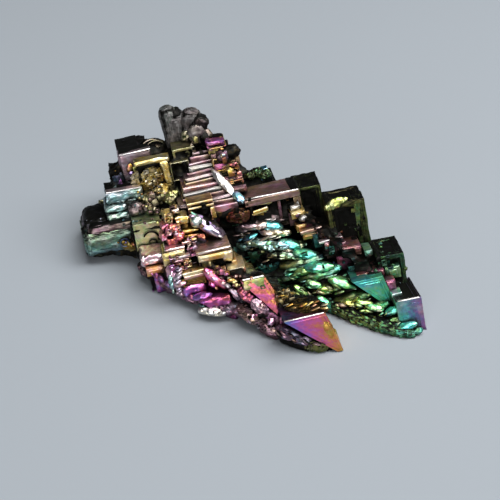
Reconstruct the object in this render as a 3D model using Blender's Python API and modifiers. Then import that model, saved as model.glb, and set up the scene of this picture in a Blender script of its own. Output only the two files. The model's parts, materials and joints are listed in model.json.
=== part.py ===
"""Bismuth hopper crystal: one cluster of stepped, hollow-faced crystals grown together.

Metres, +Z up. The cluster lies on the plane Z = 0 with the origin under the middle of its box.
Every crystal follows one cubic lattice, which leans a little out of the upright. Inside that
lattice X runs to the right along the ledges, Y runs away from the low front, and Z runs up.
Each crystal is placed by its front top right corner, in millimetres of the lattice.
"""

import bmesh
import bpy
from math import radians
from mathutils import Euler, Matrix, Vector

MM = 0.001

# Driving dimensions, in millimetres and degrees.
LATTICE_LEAN = (-7.0, -12.5, 10.5)
SEAT = (0.24, 3.68, 0.0)
RIM = 0.7
DROP = 0.6
HOLLOW_STEPS = 2
TWIST = 1.4
FLOOR_CUT = 60.0

FACES = {
    "front": Vector((0, -1, 0)),
    "back": Vector((0, 1, 0)),
    "left": Vector((-1, 0, 0)),
    "right": Vector((1, 0, 0)),
    "top": Vector((0, 0, 1)),
    "under": Vector((0, 0, -1)),
}


def clear_scene():
    for thing in list(bpy.data.objects):
        bpy.data.objects.remove(thing)


def new_collection(name):
    group = bpy.data.collections.new(name)
    bpy.context.scene.collection.children.link(group)
    return group


def bismuth_metal():
    metal = bpy.data.materials.new("oxidised_bismuth")
    metal.use_nodes = True
    shader = metal.node_tree.nodes["Principled BSDF"]
    shader.inputs["Base Color"].default_value = (0.42, 0.33, 0.30, 1.0)
    shader.inputs["Metallic"].default_value = 1.0
    shader.inputs["Roughness"].default_value = 0.3
    return metal


class Cluster:
    """The lattice that the crystals share, and the crystals grown on it so far."""

    def __init__(self):
        self.shown = new_collection("bismuth_hopper_crystal")
        self.grown = new_collection("grown_crystals")
        self.cutters = new_collection("cutters")
        self.lattice = bpy.data.objects.new("lattice", None)
        self.lattice.rotation_mode = "ZXY"
        self.lattice.rotation_euler = Euler([radians(a) for a in LATTICE_LEAN], "ZXY")
        self.lattice.location = Vector(SEAT) * MM
        self.shown.objects.link(self.lattice)

    def add(self, name, bm, place, turn=(0.0, 0.0, 0.0), group=None):
        """Put a shape made in millimetres at a place of the lattice, with a small turn of its own."""
        bmesh.ops.recalc_face_normals(bm, faces=bm.faces)
        bmesh.ops.transform(bm, matrix=Matrix.Scale(MM, 4), verts=bm.verts)
        mesh = bpy.data.meshes.new(name)
        bm.to_mesh(mesh)
        bm.free()
        thing = bpy.data.objects.new(name, mesh)
        thing.location = Vector(place) * MM
        thing.rotation_euler = [radians(a) for a in turn]
        thing.parent = self.lattice
        (group or self.grown).objects.link(thing)
        if group is None:
            thing.display_type = "WIRE"
            thing.hide_render = True
        return thing

    def twist(self):
        """A small turn, different for each crystal, so that no two faces lie in one plane."""
        n = len(self.grown.objects)
        return [TWIST * (((n * step) % 7) - 3) / 3 for step in (3, 5, 2)]


def face_towards(bm, direction):
    """The outermost face on one side of a crystal."""
    facing = [f for f in bm.faces if f.normal.dot(direction) > 0.9]
    return max(facing, key=lambda f: f.calc_area())


def block_mesh(width, depth, height):
    """A square crystal whose front top right corner is at the origin."""
    bm = bmesh.new()
    bmesh.ops.create_cube(bm, size=1.0)
    bmesh.ops.translate(bm, vec=(-0.5, 0.5, -0.5), verts=bm.verts)
    bmesh.ops.scale(bm, vec=(width, depth, height), verts=bm.verts)
    bm.normal_update()
    return bm


def sink(bm, side, rims, drops):
    """Step one face inwards ring by ring, which leaves the hollow of a hopper crystal."""
    direction = FACES[side]
    face = face_towards(bm, direction)
    for rim, drop in zip(rims, drops):
        bmesh.ops.inset_region(bm, faces=[face], thickness=rim, use_boundary=True, use_even_offset=True)
        face = bmesh.ops.extrude_discrete_faces(bm, faces=[face])["faces"][0]
        bmesh.ops.translate(bm, vec=-direction * drop, verts=face.verts)
        bm.normal_update()


def hopper(cluster, name, corner, size, hollows=(), steps=HOLLOW_STEPS, rim=RIM, drop=DROP, turn=None):
    """A square crystal with stepped hollows in the faces that are named."""
    bm = block_mesh(*size)
    for side in hollows:
        sink(bm, side, [rim] * steps, [drop] * steps)
    return cluster.add(name, bm, corner, turn or cluster.twist())


def round_edges(thing, width, segments=2):
    """Soften a crystal as the last melt that ran off it did."""
    bevel = thing.modifiers.new("melt_round", "BEVEL")
    bevel.width = width * MM
    bevel.segments = segments
    bevel.limit_method = "ANGLE"
    return thing


def stair(cluster, name, start, step, count, size, grow=(0.0, 0.0, 0.0), soft=0.0):
    """A run of ledges, each one step on from the last along the same diagonal."""
    for i in range(count):
        corner = [start[k] + step[k] * i for k in range(3)]
        edge = [size[k] + grow[k] * i for k in range(3)]
        ledge = hopper(cluster, f"{name}_{i + 1}", corner, edge)
        if soft:
            round_edges(ledge, soft, 1)


def lump(cluster, name, centre, radii, turn=(0.0, 0.0, 0.0)):
    """A blob of metal that froze before it could grow flat faces, longest along the lattice's X."""
    bm = bmesh.new()
    bmesh.ops.create_uvsphere(bm, u_segments=10, v_segments=6, radius=1.0)
    bmesh.ops.rotate(bm, matrix=Matrix.Rotation(radians(90.0), 3, "Y"), verts=bm.verts)
    bmesh.ops.scale(bm, vec=radii, verts=bm.verts)
    return cluster.add(name, bm, centre, turn)


def wedge(cluster, name, corner, size, lean=0.0, turn=None):
    """A crystal with a triangular front: flat on top and on the right, cut away to the lower left."""
    width, depth, height = size
    bm = bmesh.new()
    outline = ((-width, 0.0), (0.0, 0.0), (lean, -height), (lean - 0.15 * width, -height))
    front = bm.faces.new([bm.verts.new((x, 0.0, z)) for x, z in outline])
    back = bmesh.ops.extrude_face_region(bm, geom=[front])["geom"]
    moved = [v for v in back if isinstance(v, bmesh.types.BMVert)]
    bmesh.ops.translate(bm, vec=(0.0, depth, 0.0), verts=moved)
    return cluster.add(name, bm, corner, turn or cluster.twist())


def heart(cluster, name, points, group=None):
    """The solid metal behind the ledges, as the hull of its main corners."""
    bm = bmesh.new()
    corners = [bm.verts.new(p) for p in points]
    hull = bmesh.ops.convex_hull(bm, input=corners)
    spare = [v for v in hull["geom_interior"] + hull["geom_unused"] if isinstance(v, bmesh.types.BMVert)]
    bmesh.ops.delete(bm, geom=list(set(spare)), context="VERTS")
    return cluster.add(name, bm, (0.0, 0.0, 0.0), group=group)


def grow_hearts(cluster):
    body = heart(cluster, "bismuth_crystal", (
        (-17.5, 0.5, 2.0), (-13.5, -2.5, 1.0), (-8.0, -6.5, -1.0), (-2.0, -7.5, -3.0),
        (6.0, -4.0, -4.0), (7.0, 2.0, -3.0), (3.0, 8.0, -1.0), (-4.0, 11.5, 1.0),
        (-12.0, 11.0, 3.0), (-16.5, 7.0, 3.0), (-18.0, 2.0, 6.0), (-14.0, 4.0, 10.0),
        (-8.0, 8.0, 10.0), (-4.0, 6.0, 13.0), (0.0, 3.0, 11.5), (6.0, -1.5, 6.0),
        (-4.0, 2.5, 10.5), (-6.0, -4.5, 4.0), (-13.5, -0.5, 6.0), (0.0, 1.0, 6.0),
    ), cluster.shown)
    heart(cluster, "right_arm_heart", (
        (5.5, -9.0, -5.0), (10.5, -16.5, -7.0), (16.2, -16.5, -7.0), (15.0, -9.0, -6.0),
        (9.5, 0.0, -4.0), (2.0, 3.0, -2.0), (4.0, 0.0, 6.0), (8.5, -2.0, 6.0),
        (12.0, -6.0, 4.0), (14.5, -11.0, -0.5), (15.5, -15.0, -3.4),
    ))
    heart(cluster, "middle_arm_heart", (
        (-3.5, -11.0, -3.0), (-0.4, -16.0, -5.0), (2.4, -19.8, -6.0), (4.2, -21.4, -6.0),
        (5.4, -20.4, -6.0), (4.5, -14.0, -5.0), (3.0, -8.0, -4.0), (-2.5, -7.5, 4.6),
        (-1.5, -13.0, 2.0), (2.6, -18.0, -1.2), (4.6, -20.0, -1.6), (1.6, -10.0, 0.0),
    ))
    heart(cluster, "left_arm_heart", (
        (-13.0, -3.5, 0.0), (-11.8, -6.7, 0.0), (-9.8, -9.5, -1.0), (-7.0, -12.6, -2.0),
        (-3.9, -13.4, -3.0), (-2.5, -10.0, -3.0), (-5.0, -4.0, 0.0), (-11.0, -4.5, 4.0),
        (-9.0, -8.0, 3.0), (-6.0, -10.5, 2.2), (-4.4, -12.6, 0.2), (-4.0, -7.0, 5.0),
    ))
    return body


def grow_right_arm(cluster):
    """The crest: open hoppers that step down to the right tip, small steps inside, ripples below."""
    crest = (
        ("crest_rim", (6.5, -6.0, 8.8), (6.3, 4.4, 3.7), ("front", "back"), 0.8, 0.8),
        ("crest_1", (9.2, -5.0, 8.6), (3.0, 4.4, 7.0), ("front", "back"), 0.6, 0.5),
        ("crest_2", (13.4, -8.6, 7.2), (4.3, 4.4, 8.5), ("front", "right", "back"), 0.8, 0.6),
        ("crest_3", (16.2, -13.0, 1.6), (3.0, 5.0, 5.5), ("front", "right"), 0.6, 0.5),
        ("crest_4", (16.7, -17.5, -2.0), (2.9, 5.4, 4.4), ("right",), 0.6, 0.5),
    )
    for name, corner, size, hollows, rim, drop in crest:
        hopper(cluster, name, corner, size, hollows, rim=rim, drop=drop)
    stair(cluster, "inner_step", (6.5, -7.0, 7.3), (1.18, -1.2, -1.12), 7, (1.3, 4.0, 1.2), (0.16, 0.0, 0.03))
    wedge(cluster, "teal_face", (13.7, -15.0, -0.2), (3.6, 3.4, 3.4), 0.5)
    for i in range(13):
        size = 1.0 - 0.04 * abs(i - 6)
        centre = (0.6 + 1.12 * i, -3.9 - 1.14 * i, 4.7 - 0.9 * i)
        lump(cluster, f"ripple_{i + 1}", centre, (3.0 * size, 1.3 * size, 0.85 * size), (0.0, -9.0, -16.0))
    stair(cluster, "valley_step", (0.9, -3.0, 5.0), (0.62, -1.5, -1.28), 6, (2.6, 4.0, 1.4))
    for i in range(4):
        centre = (0.6 + 1.3 * i, -5.6 - 1.7 * i, 1.2 - 1.1 * i)
        lump(cluster, f"valley_ridge_{i + 1}", centre, (1.9, 1.1, 0.6), (0.0, -8.0, -16.0))


def grow_middle_arm(cluster):
    """A frame and a run of hoppers that ends in a flat triangular tip."""
    hopper(cluster, "arm_band", (-3.0, -9.5, 6.1), (4.8, 4.0, 1.1))
    hopper(cluster, "arm_frame", (-2.5, -11.0, 5.3), (4.0, 4.0, 3.0), ("front",), 2, 0.5, 0.6)
    hopper(cluster, "arm_step_1", (-1.6, -13.3, 4.0), (2.0, 4.0, 1.6))
    wedge(cluster, "arm_face", (0.4, -16.3, 3.2), (2.9, 4.0, 4.8), 1.5)
    hopper(cluster, "arm_step_2", (1.9, -16.6, 2.2), (2.2, 4.0, 1.6))
    hopper(cluster, "arm_step_3", (2.9, -17.8, 1.0), (2.2, 4.0, 2.0))
    wedge(cluster, "middle_tip", (4.9, -21.1, 0.1), (3.8, 4.2, 5.2), 1.2, (0.0, 0.0, 2.0))
    lump(cluster, "arm_melt_1", (-0.8, -16.0, -0.4), (2.4, 1.4, 1.3), (0.0, 30.0, -30.0))
    lump(cluster, "arm_melt_2", (2.0, -19.4, -2.7), (3.0, 1.5, 1.1), (0.0, 24.0, -30.0))


def grow_left_arm(cluster):
    """Short hoppers that step down to the left, and a low blade-shaped tip."""
    hopper(cluster, "gold_block", (-7.2, -9.5, 5.8), (3.2, 4.0, 1.8), ("front",), 1, 0.4, 0.4)
    hopper(cluster, "left_1", (-6.2, -11.5, 3.9), (2.6, 4.0, 2.9))
    hopper(cluster, "left_rose", (-10.1, -7.5, 4.9), (3.0, 4.0, 1.6))
    hopper(cluster, "left_step", (-10.3, -8.5, 3.7), (2.2, 4.0, 2.4))
    lump(cluster, "left_wave", (-9.2, -10.2, 2.4), (1.0, 1.2, 1.9), (0.0, -12.0, 10.0))
    lump(cluster, "rose_ridge", (-4.0, -11.9, 3.0), (2.6, 0.9, 0.9), (0.0, 42.0, -20.0))
    wedge(cluster, "left_tip", (-3.6, -14.0, 1.3), (3.9, 4.5, 3.0), 0.4)
    lump(cluster, "left_melt", (-5.9, -13.6, -0.1), (2.0, 0.9, 0.6), (0.0, 12.0, -12.0))


def grow_centre(cluster):
    """The terraced pyramid with the copper stair on its right and the gold hopper at its foot."""
    stair(cluster, "terrace", (-2.2, 1.3, 12.9), (0.16, -0.66, -0.43), 12, (2.2, 4.0, 1.2), (0.34, 0.0, 0.0))
    stair(cluster, "copper", (-0.7, -0.3, 15.0), (0.28, -0.62, -0.95), 6, (2.2, 4.0, 1.3), (0.14, 0.0, 0.0))
    lump(cluster, "copper_knob", (-0.1, -1.0, 13.2), (1.4, 1.2, 1.2))
    hopper(cluster, "gold_hopper", (-3.4, -6.5, 10.2), (3.0, 4.0, 2.9), ("front",), 2, 0.45, 0.5)
    lump(cluster, "lilac_blade", (-4.5, -7.2, 7.7), (2.8, 1.0, 0.7), (0.0, 42.0, -20.0))
    cubes = ((-7.9, -6.0, 8.8), (-6.7, -7.0, 8.2), (-8.3, -7.0, 7.3), (-6.5, -7.8, 7.2), (-5.1, -8.5, 6.7))
    for i, corner in enumerate(cubes):
        hopper(cluster, f"red_cube_{i + 1}", corner, (1.5, 3.0, 1.6), ("front",), 1, 0.3, 0.35)


def grow_left_head(cluster):
    """The blunt left end: a tall black block, a yellow frame, and a rounded heavy corner."""
    hopper(cluster, "head_block", (-9.3, 4.0, 13.8), (4.0, 6.6, 6.0), ("left", "back"), 1, 0.7, 0.5)
    lump(cluster, "head_arc", (-8.6, 6.6, 13.0), (2.0, 2.2, 1.2), (0.0, 20.0, 0.0))
    hopper(cluster, "yellow_frame", (-6.6, 1.0, 13.2), (4.8, 5.0, 6.4), ("front",), 3, 0.75, 0.6)
    hopper(cluster, "olive_1", (-4.1, 1.0, 14.0), (2.6, 4.0, 2.0), ("front",), 1, 0.5, 0.5)
    hopper(cluster, "olive_2", (-5.3, 0.0, 12.9), (2.0, 4.0, 2.2), ("front",), 1, 0.5, 0.5)
    hopper(cluster, "pale_post", (-6.9, -2.0, 10.3), (1.1, 4.0, 2.4))
    hopper(cluster, "black_step", (-13.1, 3.0, 12.5), (1.6, 3.4, 5.0))
    for i in range(2):
        corner = (-11.0 - 0.3 * i, 0.4 - 1.1 * i, 10.6 - 1.3 * i)
        band = hopper(cluster, f"silver_band_{i + 1}", corner, (4.6 - 0.3 * i, 4.0, 2.2))
        round_edges(band, 0.55)
    heavy = hopper(cluster, "heavy_corner", (-15.2, -1.4, 8.0), (4.2, 6.2, 5.4))
    round_edges(heavy, 0.8)
    heavy = hopper(cluster, "heavy_front", (-12.6, -2.4, 6.7), (5.6, 5.0, 4.4))
    round_edges(heavy, 0.7)
    hopper(cluster, "curl_plate", (-9.5, -4.5, 7.6), (4.0, 4.0, 3.9), ("front",), 1, 0.6, 0.4)


def grow_top(cluster):
    """Two dull columns at the highest point, one long and one knotted."""
    column = hopper(cluster, "column_1", (-4.2, 4.0, 17.9), (2.9, 2.8, 7.0), turn=(0.0, 2.0, 3.0))
    round_edges(column, 0.9)
    column = hopper(cluster, "column_2", (-2.0, 2.4, 16.8), (2.4, 2.8, 5.0), turn=(0.0, -4.0, -6.0))
    round_edges(column, 0.7)
    lump(cluster, "column_knot", (-2.7, 1.8, 14.6), (1.1, 0.9, 1.1))
    lump(cluster, "column_side", (-1.2, 2.6, 15.0), (1.0, 1.2, 1.3))


def grow_back(cluster):
    """The far slope: larger open hoppers that step down to the ground."""
    back = (
        ("back_1", (4.6, 0.0, 8.0), (4.4, 5.0, 6.0)),
        ("back_2", (1.0, 2.6, 11.2), (5.0, 4.6, 7.0)),
        ("back_3", (-7.0, 6.0, 11.4), (5.4, 5.0, 7.0)),
        ("back_4", (-1.0, 6.4, 7.6), (5.6, 4.6, 6.0)),
        ("back_5", (-7.6, 8.4, 8.0), (6.4, 4.4, 5.0)),
        ("back_6", (4.6, 3.4, 5.2), (4.6, 4.4, 5.5)),
        ("back_7", (-12.6, 5.0, 6.6), (4.2, 4.4, 4.6)),
        ("back_8", (-0.6, 9.6, 4.2), (6.0, 3.6, 3.0)),
        ("back_9", (10.0, -1.4, 3.6), (5.0, 4.2, 5.0)),
        ("flank_1", (13.2, -5.0, 0.6), (4.0, 4.0, 4.0)),
        ("flank_2", (15.2, -9.4, -1.4), (3.6, 4.2, 3.6)),
    )
    for name, corner, size in back:
        hopper(cluster, name, corner, size, ("back", "top", "right"), steps=2)


def hollow_underside(cluster, body):
    """Lift the middle and the blunt end off the ground, so the cluster rests on a few feet."""
    arches = (
        ("arch_head", (-17.6, -1.0, 2.6), (5.6, 3.6, 1.5)),
        ("arch_front", (-7.6, -6.6, -0.4), (3.2, 3.6, 1.0)),
        ("arch_middle", (3.0, -9.0, -2.6), (4.0, 4.6, 1.6)),
        ("arch_right", (13.0, -3.6, -3.2), (4.4, 3.6, 1.6)),
        ("arch_back", (-4.6, 8.0, 2.2), (6.0, 5.0, 1.5)),
        ("arch_far", (4.0, 8.4, 0.2), (3.4, 3.4, 1.4)),
    )
    for name, centre, radii in arches:
        arch = lump(cluster, name, centre, radii, (-9.0, 11.0, 0.0))
        cluster.grown.objects.unlink(arch)
        cluster.cutters.objects.link(arch)
    cut = body.modifiers.new("arches", "BOOLEAN")
    cut.operation = "DIFFERENCE"
    cut.solver = "EXACT"
    cut.operand_type = "COLLECTION"
    cut.collection = cluster.cutters


def floor_block(cluster):
    """Everything below the plane that the cluster rests on."""
    bm = bmesh.new()
    bmesh.ops.create_cube(bm, size=FLOOR_CUT * MM)
    bmesh.ops.translate(bm, vec=(0.0, 0.0, -0.5 * FLOOR_CUT * MM), verts=bm.verts)
    mesh = bpy.data.meshes.new("floor_cut")
    bm.to_mesh(mesh)
    bm.free()
    block = bpy.data.objects.new("floor_cut", mesh)
    block.display_type = "WIRE"
    block.hide_render = True
    cluster.cutters.objects.link(block)
    return block


def shells_of(bm):
    """The separate closed skins of a mesh, each as a list of faces."""
    waiting = set(bm.faces)
    shells = []
    while waiting:
        front = [waiting.pop()]
        shell = []
        while front:
            face = front.pop()
            shell.append(face)
            for edge in face.edges:
                near = [f for f in edge.link_faces if f in waiting]
                waiting.difference_update(near)
                front.extend(near)
        shells.append(shell)
    return shells


def unite(cluster, body):
    """Fuse every crystal with the heart, cut the whole flat where it rests, and keep the outer skin.

    Neighbouring crystals shut small pockets in between them, which in the real thing are metal.
    """
    fuse = body.modifiers.new("grown_together", "BOOLEAN")
    fuse.operation = "UNION"
    fuse.solver = "EXACT"
    fuse.operand_type = "COLLECTION"
    fuse.collection = cluster.grown
    floor_block(cluster)
    hollow_underside(cluster, body)
    graph = bpy.context.evaluated_depsgraph_get()
    fused = bpy.data.meshes.new_from_object(body.evaluated_get(graph), depsgraph=graph)
    body.modifiers.clear()
    bm = bmesh.new()
    bm.from_mesh(fused)
    shells = shells_of(bm)
    skin = max(shells, key=len)
    pockets = [face for shell in shells if shell is not skin for face in shell]
    bmesh.ops.delete(bm, geom=pockets, context="FACES")
    bm.to_mesh(fused)
    bm.free()
    body.data = fused


clear_scene()
cluster = Cluster()
body = grow_hearts(cluster)
body.data.materials.append(bismuth_metal())
grow_right_arm(cluster)
grow_middle_arm(cluster)
grow_left_arm(cluster)
grow_centre(cluster)
grow_left_head(cluster)
grow_top(cluster)
grow_back(cluster)
unite(cluster, body)
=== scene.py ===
import json
import random
from math import radians

import bmesh
import bpy
from mathutils import Euler, Matrix, Vector
from mathutils.bvhtree import BVHTree
from mathutils.kdtree import KDTree

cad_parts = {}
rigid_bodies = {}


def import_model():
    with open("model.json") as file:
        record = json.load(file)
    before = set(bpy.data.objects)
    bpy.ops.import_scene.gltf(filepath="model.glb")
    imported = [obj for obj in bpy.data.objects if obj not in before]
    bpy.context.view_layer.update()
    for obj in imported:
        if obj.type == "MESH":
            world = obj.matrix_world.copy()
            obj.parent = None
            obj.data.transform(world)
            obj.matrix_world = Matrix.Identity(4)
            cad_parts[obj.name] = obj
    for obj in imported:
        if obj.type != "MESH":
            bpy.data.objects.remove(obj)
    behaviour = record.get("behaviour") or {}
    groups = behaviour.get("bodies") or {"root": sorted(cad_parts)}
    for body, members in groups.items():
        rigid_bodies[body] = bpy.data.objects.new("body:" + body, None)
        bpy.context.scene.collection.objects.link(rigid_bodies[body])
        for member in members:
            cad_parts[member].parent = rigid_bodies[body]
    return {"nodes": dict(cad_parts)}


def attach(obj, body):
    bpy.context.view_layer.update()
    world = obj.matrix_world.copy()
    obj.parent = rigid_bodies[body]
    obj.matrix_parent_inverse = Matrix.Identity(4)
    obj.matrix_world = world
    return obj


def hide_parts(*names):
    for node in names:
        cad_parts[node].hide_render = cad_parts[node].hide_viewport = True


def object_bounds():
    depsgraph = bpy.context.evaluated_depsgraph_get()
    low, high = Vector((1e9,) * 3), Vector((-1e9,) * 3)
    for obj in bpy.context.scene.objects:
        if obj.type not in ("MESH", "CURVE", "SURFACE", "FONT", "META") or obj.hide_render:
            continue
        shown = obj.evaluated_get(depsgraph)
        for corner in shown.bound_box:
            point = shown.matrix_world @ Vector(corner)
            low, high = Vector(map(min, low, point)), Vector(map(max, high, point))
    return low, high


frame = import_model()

cad_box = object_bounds()
MM = 0.001

# The floor, the lights and the camera.
# A plain pale floor, four soft lights (high on the right, overhead, beside the camera and high in
# front) and a dark room, so that level faces mirror the dark and the fronts mirror the floor.
FLOOR_COLOUR = (0.205, 0.225, 0.245, 1.0)
FLOOR_SIZE = 3.0
FLOOR_ROUGHNESS = 0.9
FLOOR_GLOSS = 0.1
LOOK_AT = Vector((0.24, 3.68, 0.0)) * MM
EYE_DISTANCE = 182.5 * MM
EYE_ELEVATION = 32.18
EYE_ROLL = 2.8
LENS = 109.4
NEAREST_SEEN = 0.01
ROOM = (0.020, 0.021, 0.023, 1.0)


def floor_finish():
    paint = bpy.data.materials.new("pale_floor")
    paint.use_nodes = True
    shader = paint.node_tree.nodes["Principled BSDF"]
    shader.inputs["Base Color"].default_value = FLOOR_COLOUR
    shader.inputs["Roughness"].default_value = FLOOR_ROUGHNESS
    shader.inputs["Specular IOR Level"].default_value = FLOOR_GLOSS
    return paint


def soft_light(name, place, power, width):
    """A square lamp that faces the cluster: its place in metres, power in watts and width."""
    lamp = bpy.data.lights.new(name, "AREA")
    lamp.energy = power
    lamp.size = width
    thing = bpy.data.objects.new(name, lamp)
    thing.location = Vector(place)
    thing.rotation_euler = (Vector(place) - LOOK_AT).to_track_quat("Z", "Y").to_euler()
    bpy.context.collection.objects.link(thing)


bpy.ops.mesh.primitive_plane_add(size=FLOOR_SIZE)
floor = bpy.context.object
floor.name = "floor"
floor.data.materials.append(floor_finish())

soft_light("high_right", (0.20, 0.07, 0.32), 2.4, 0.30)
soft_light("overhead", (0.00, -0.06, 0.38), 1.1, 0.18)
soft_light("beside_camera", (-0.10, -0.40, 0.14), 0.8, 0.14)
soft_light("high_front", (0.05, -0.30, 0.30), 0.6, 0.28)

room = bpy.data.worlds.new("dark_room")
room.use_nodes = True
room.node_tree.nodes["Background"].inputs["Color"].default_value = ROOM
bpy.context.scene.world = room

camera = bpy.data.objects.new("camera", bpy.data.cameras.new("camera"))
camera.data.lens = LENS
camera.data.clip_start = NEAREST_SEEN
look = Matrix.Rotation(radians(90.0 - EYE_ELEVATION), 4, "X") @ Matrix.Rotation(radians(EYE_ROLL), 4, "Z")
camera.matrix_world = Matrix.Translation(LOOK_AT) @ look @ Matrix.Translation((0.0, 0.0, EYE_DISTANCE))
bpy.context.collection.objects.link(camera)
bpy.context.scene.camera = camera
bpy.context.scene.view_settings.view_transform = "Standard"


# The metal's skin. Bismuth is a pinkish silver metal, and the oxide on it is a clear film whose
# thickness gives the colour: silver, gold, orange, rose, violet, blue, teal, green, olive and rose
# again. Every face carries its own film thickness, how dull it is and how much bare silver shows;
# the dullness also carries painted shade on level tops and in recesses, the bare silver a painted
# highlight on edges, and ambient occlusion paints more shade into the hollows.
LATTICE_LEAN = (-7.0, -12.5, 10.5)
FILM_COLOURS = (
    (0.00, (0.86, 0.83, 0.80)),
    (0.08, (0.92, 0.80, 0.46)),
    (0.14, (0.94, 0.66, 0.12)),
    (0.20, (0.92, 0.40, 0.11)),
    (0.26, (0.90, 0.22, 0.24)),
    (0.31, (0.84, 0.18, 0.50)),
    (0.36, (0.52, 0.18, 0.66)),
    (0.42, (0.18, 0.26, 0.70)),
    (0.48, (0.14, 0.62, 0.80)),
    (0.54, (0.14, 0.74, 0.64)),
    (0.60, (0.18, 0.70, 0.34)),
    (0.67, (0.42, 0.70, 0.18)),
    (0.74, (0.74, 0.72, 0.20)),
    (0.80, (0.76, 0.58, 0.28)),
    (0.86, (0.76, 0.44, 0.38)),
    (0.93, (0.68, 0.30, 0.46)),
    (1.00, (0.36, 0.42, 0.60)),
)
BARE_SILVER = (0.80, 0.77, 0.76, 1.0)
# Near black: the tarnish colour, and also the colour of painted shade in hollows.
TARNISH_AND_SHADE = (0.010, 0.010, 0.009, 1.0)
USUAL_NOISE = (0.3, 0.7)
FILM_DRIFT = 0.035
FILM_GRAIN = 0.022
FILM_STREAKS = 0.03
DRIFT_SCALE = 320.0
STREAK_SCALE = 900.0
PATCH_SCALE = 1300.0
GRAIN_SCALE = 2200.0
SMUT_SCALE = 2300.0
BUMP_SCALE = 4200.0
BUMP_STRENGTH = 0.75
BUMP_HEIGHT = 0.05 * MM
PAINTED_SHADE_REACH = 1.2 * MM
POLISHED = 0.32
TARNISHED = 0.50


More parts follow.
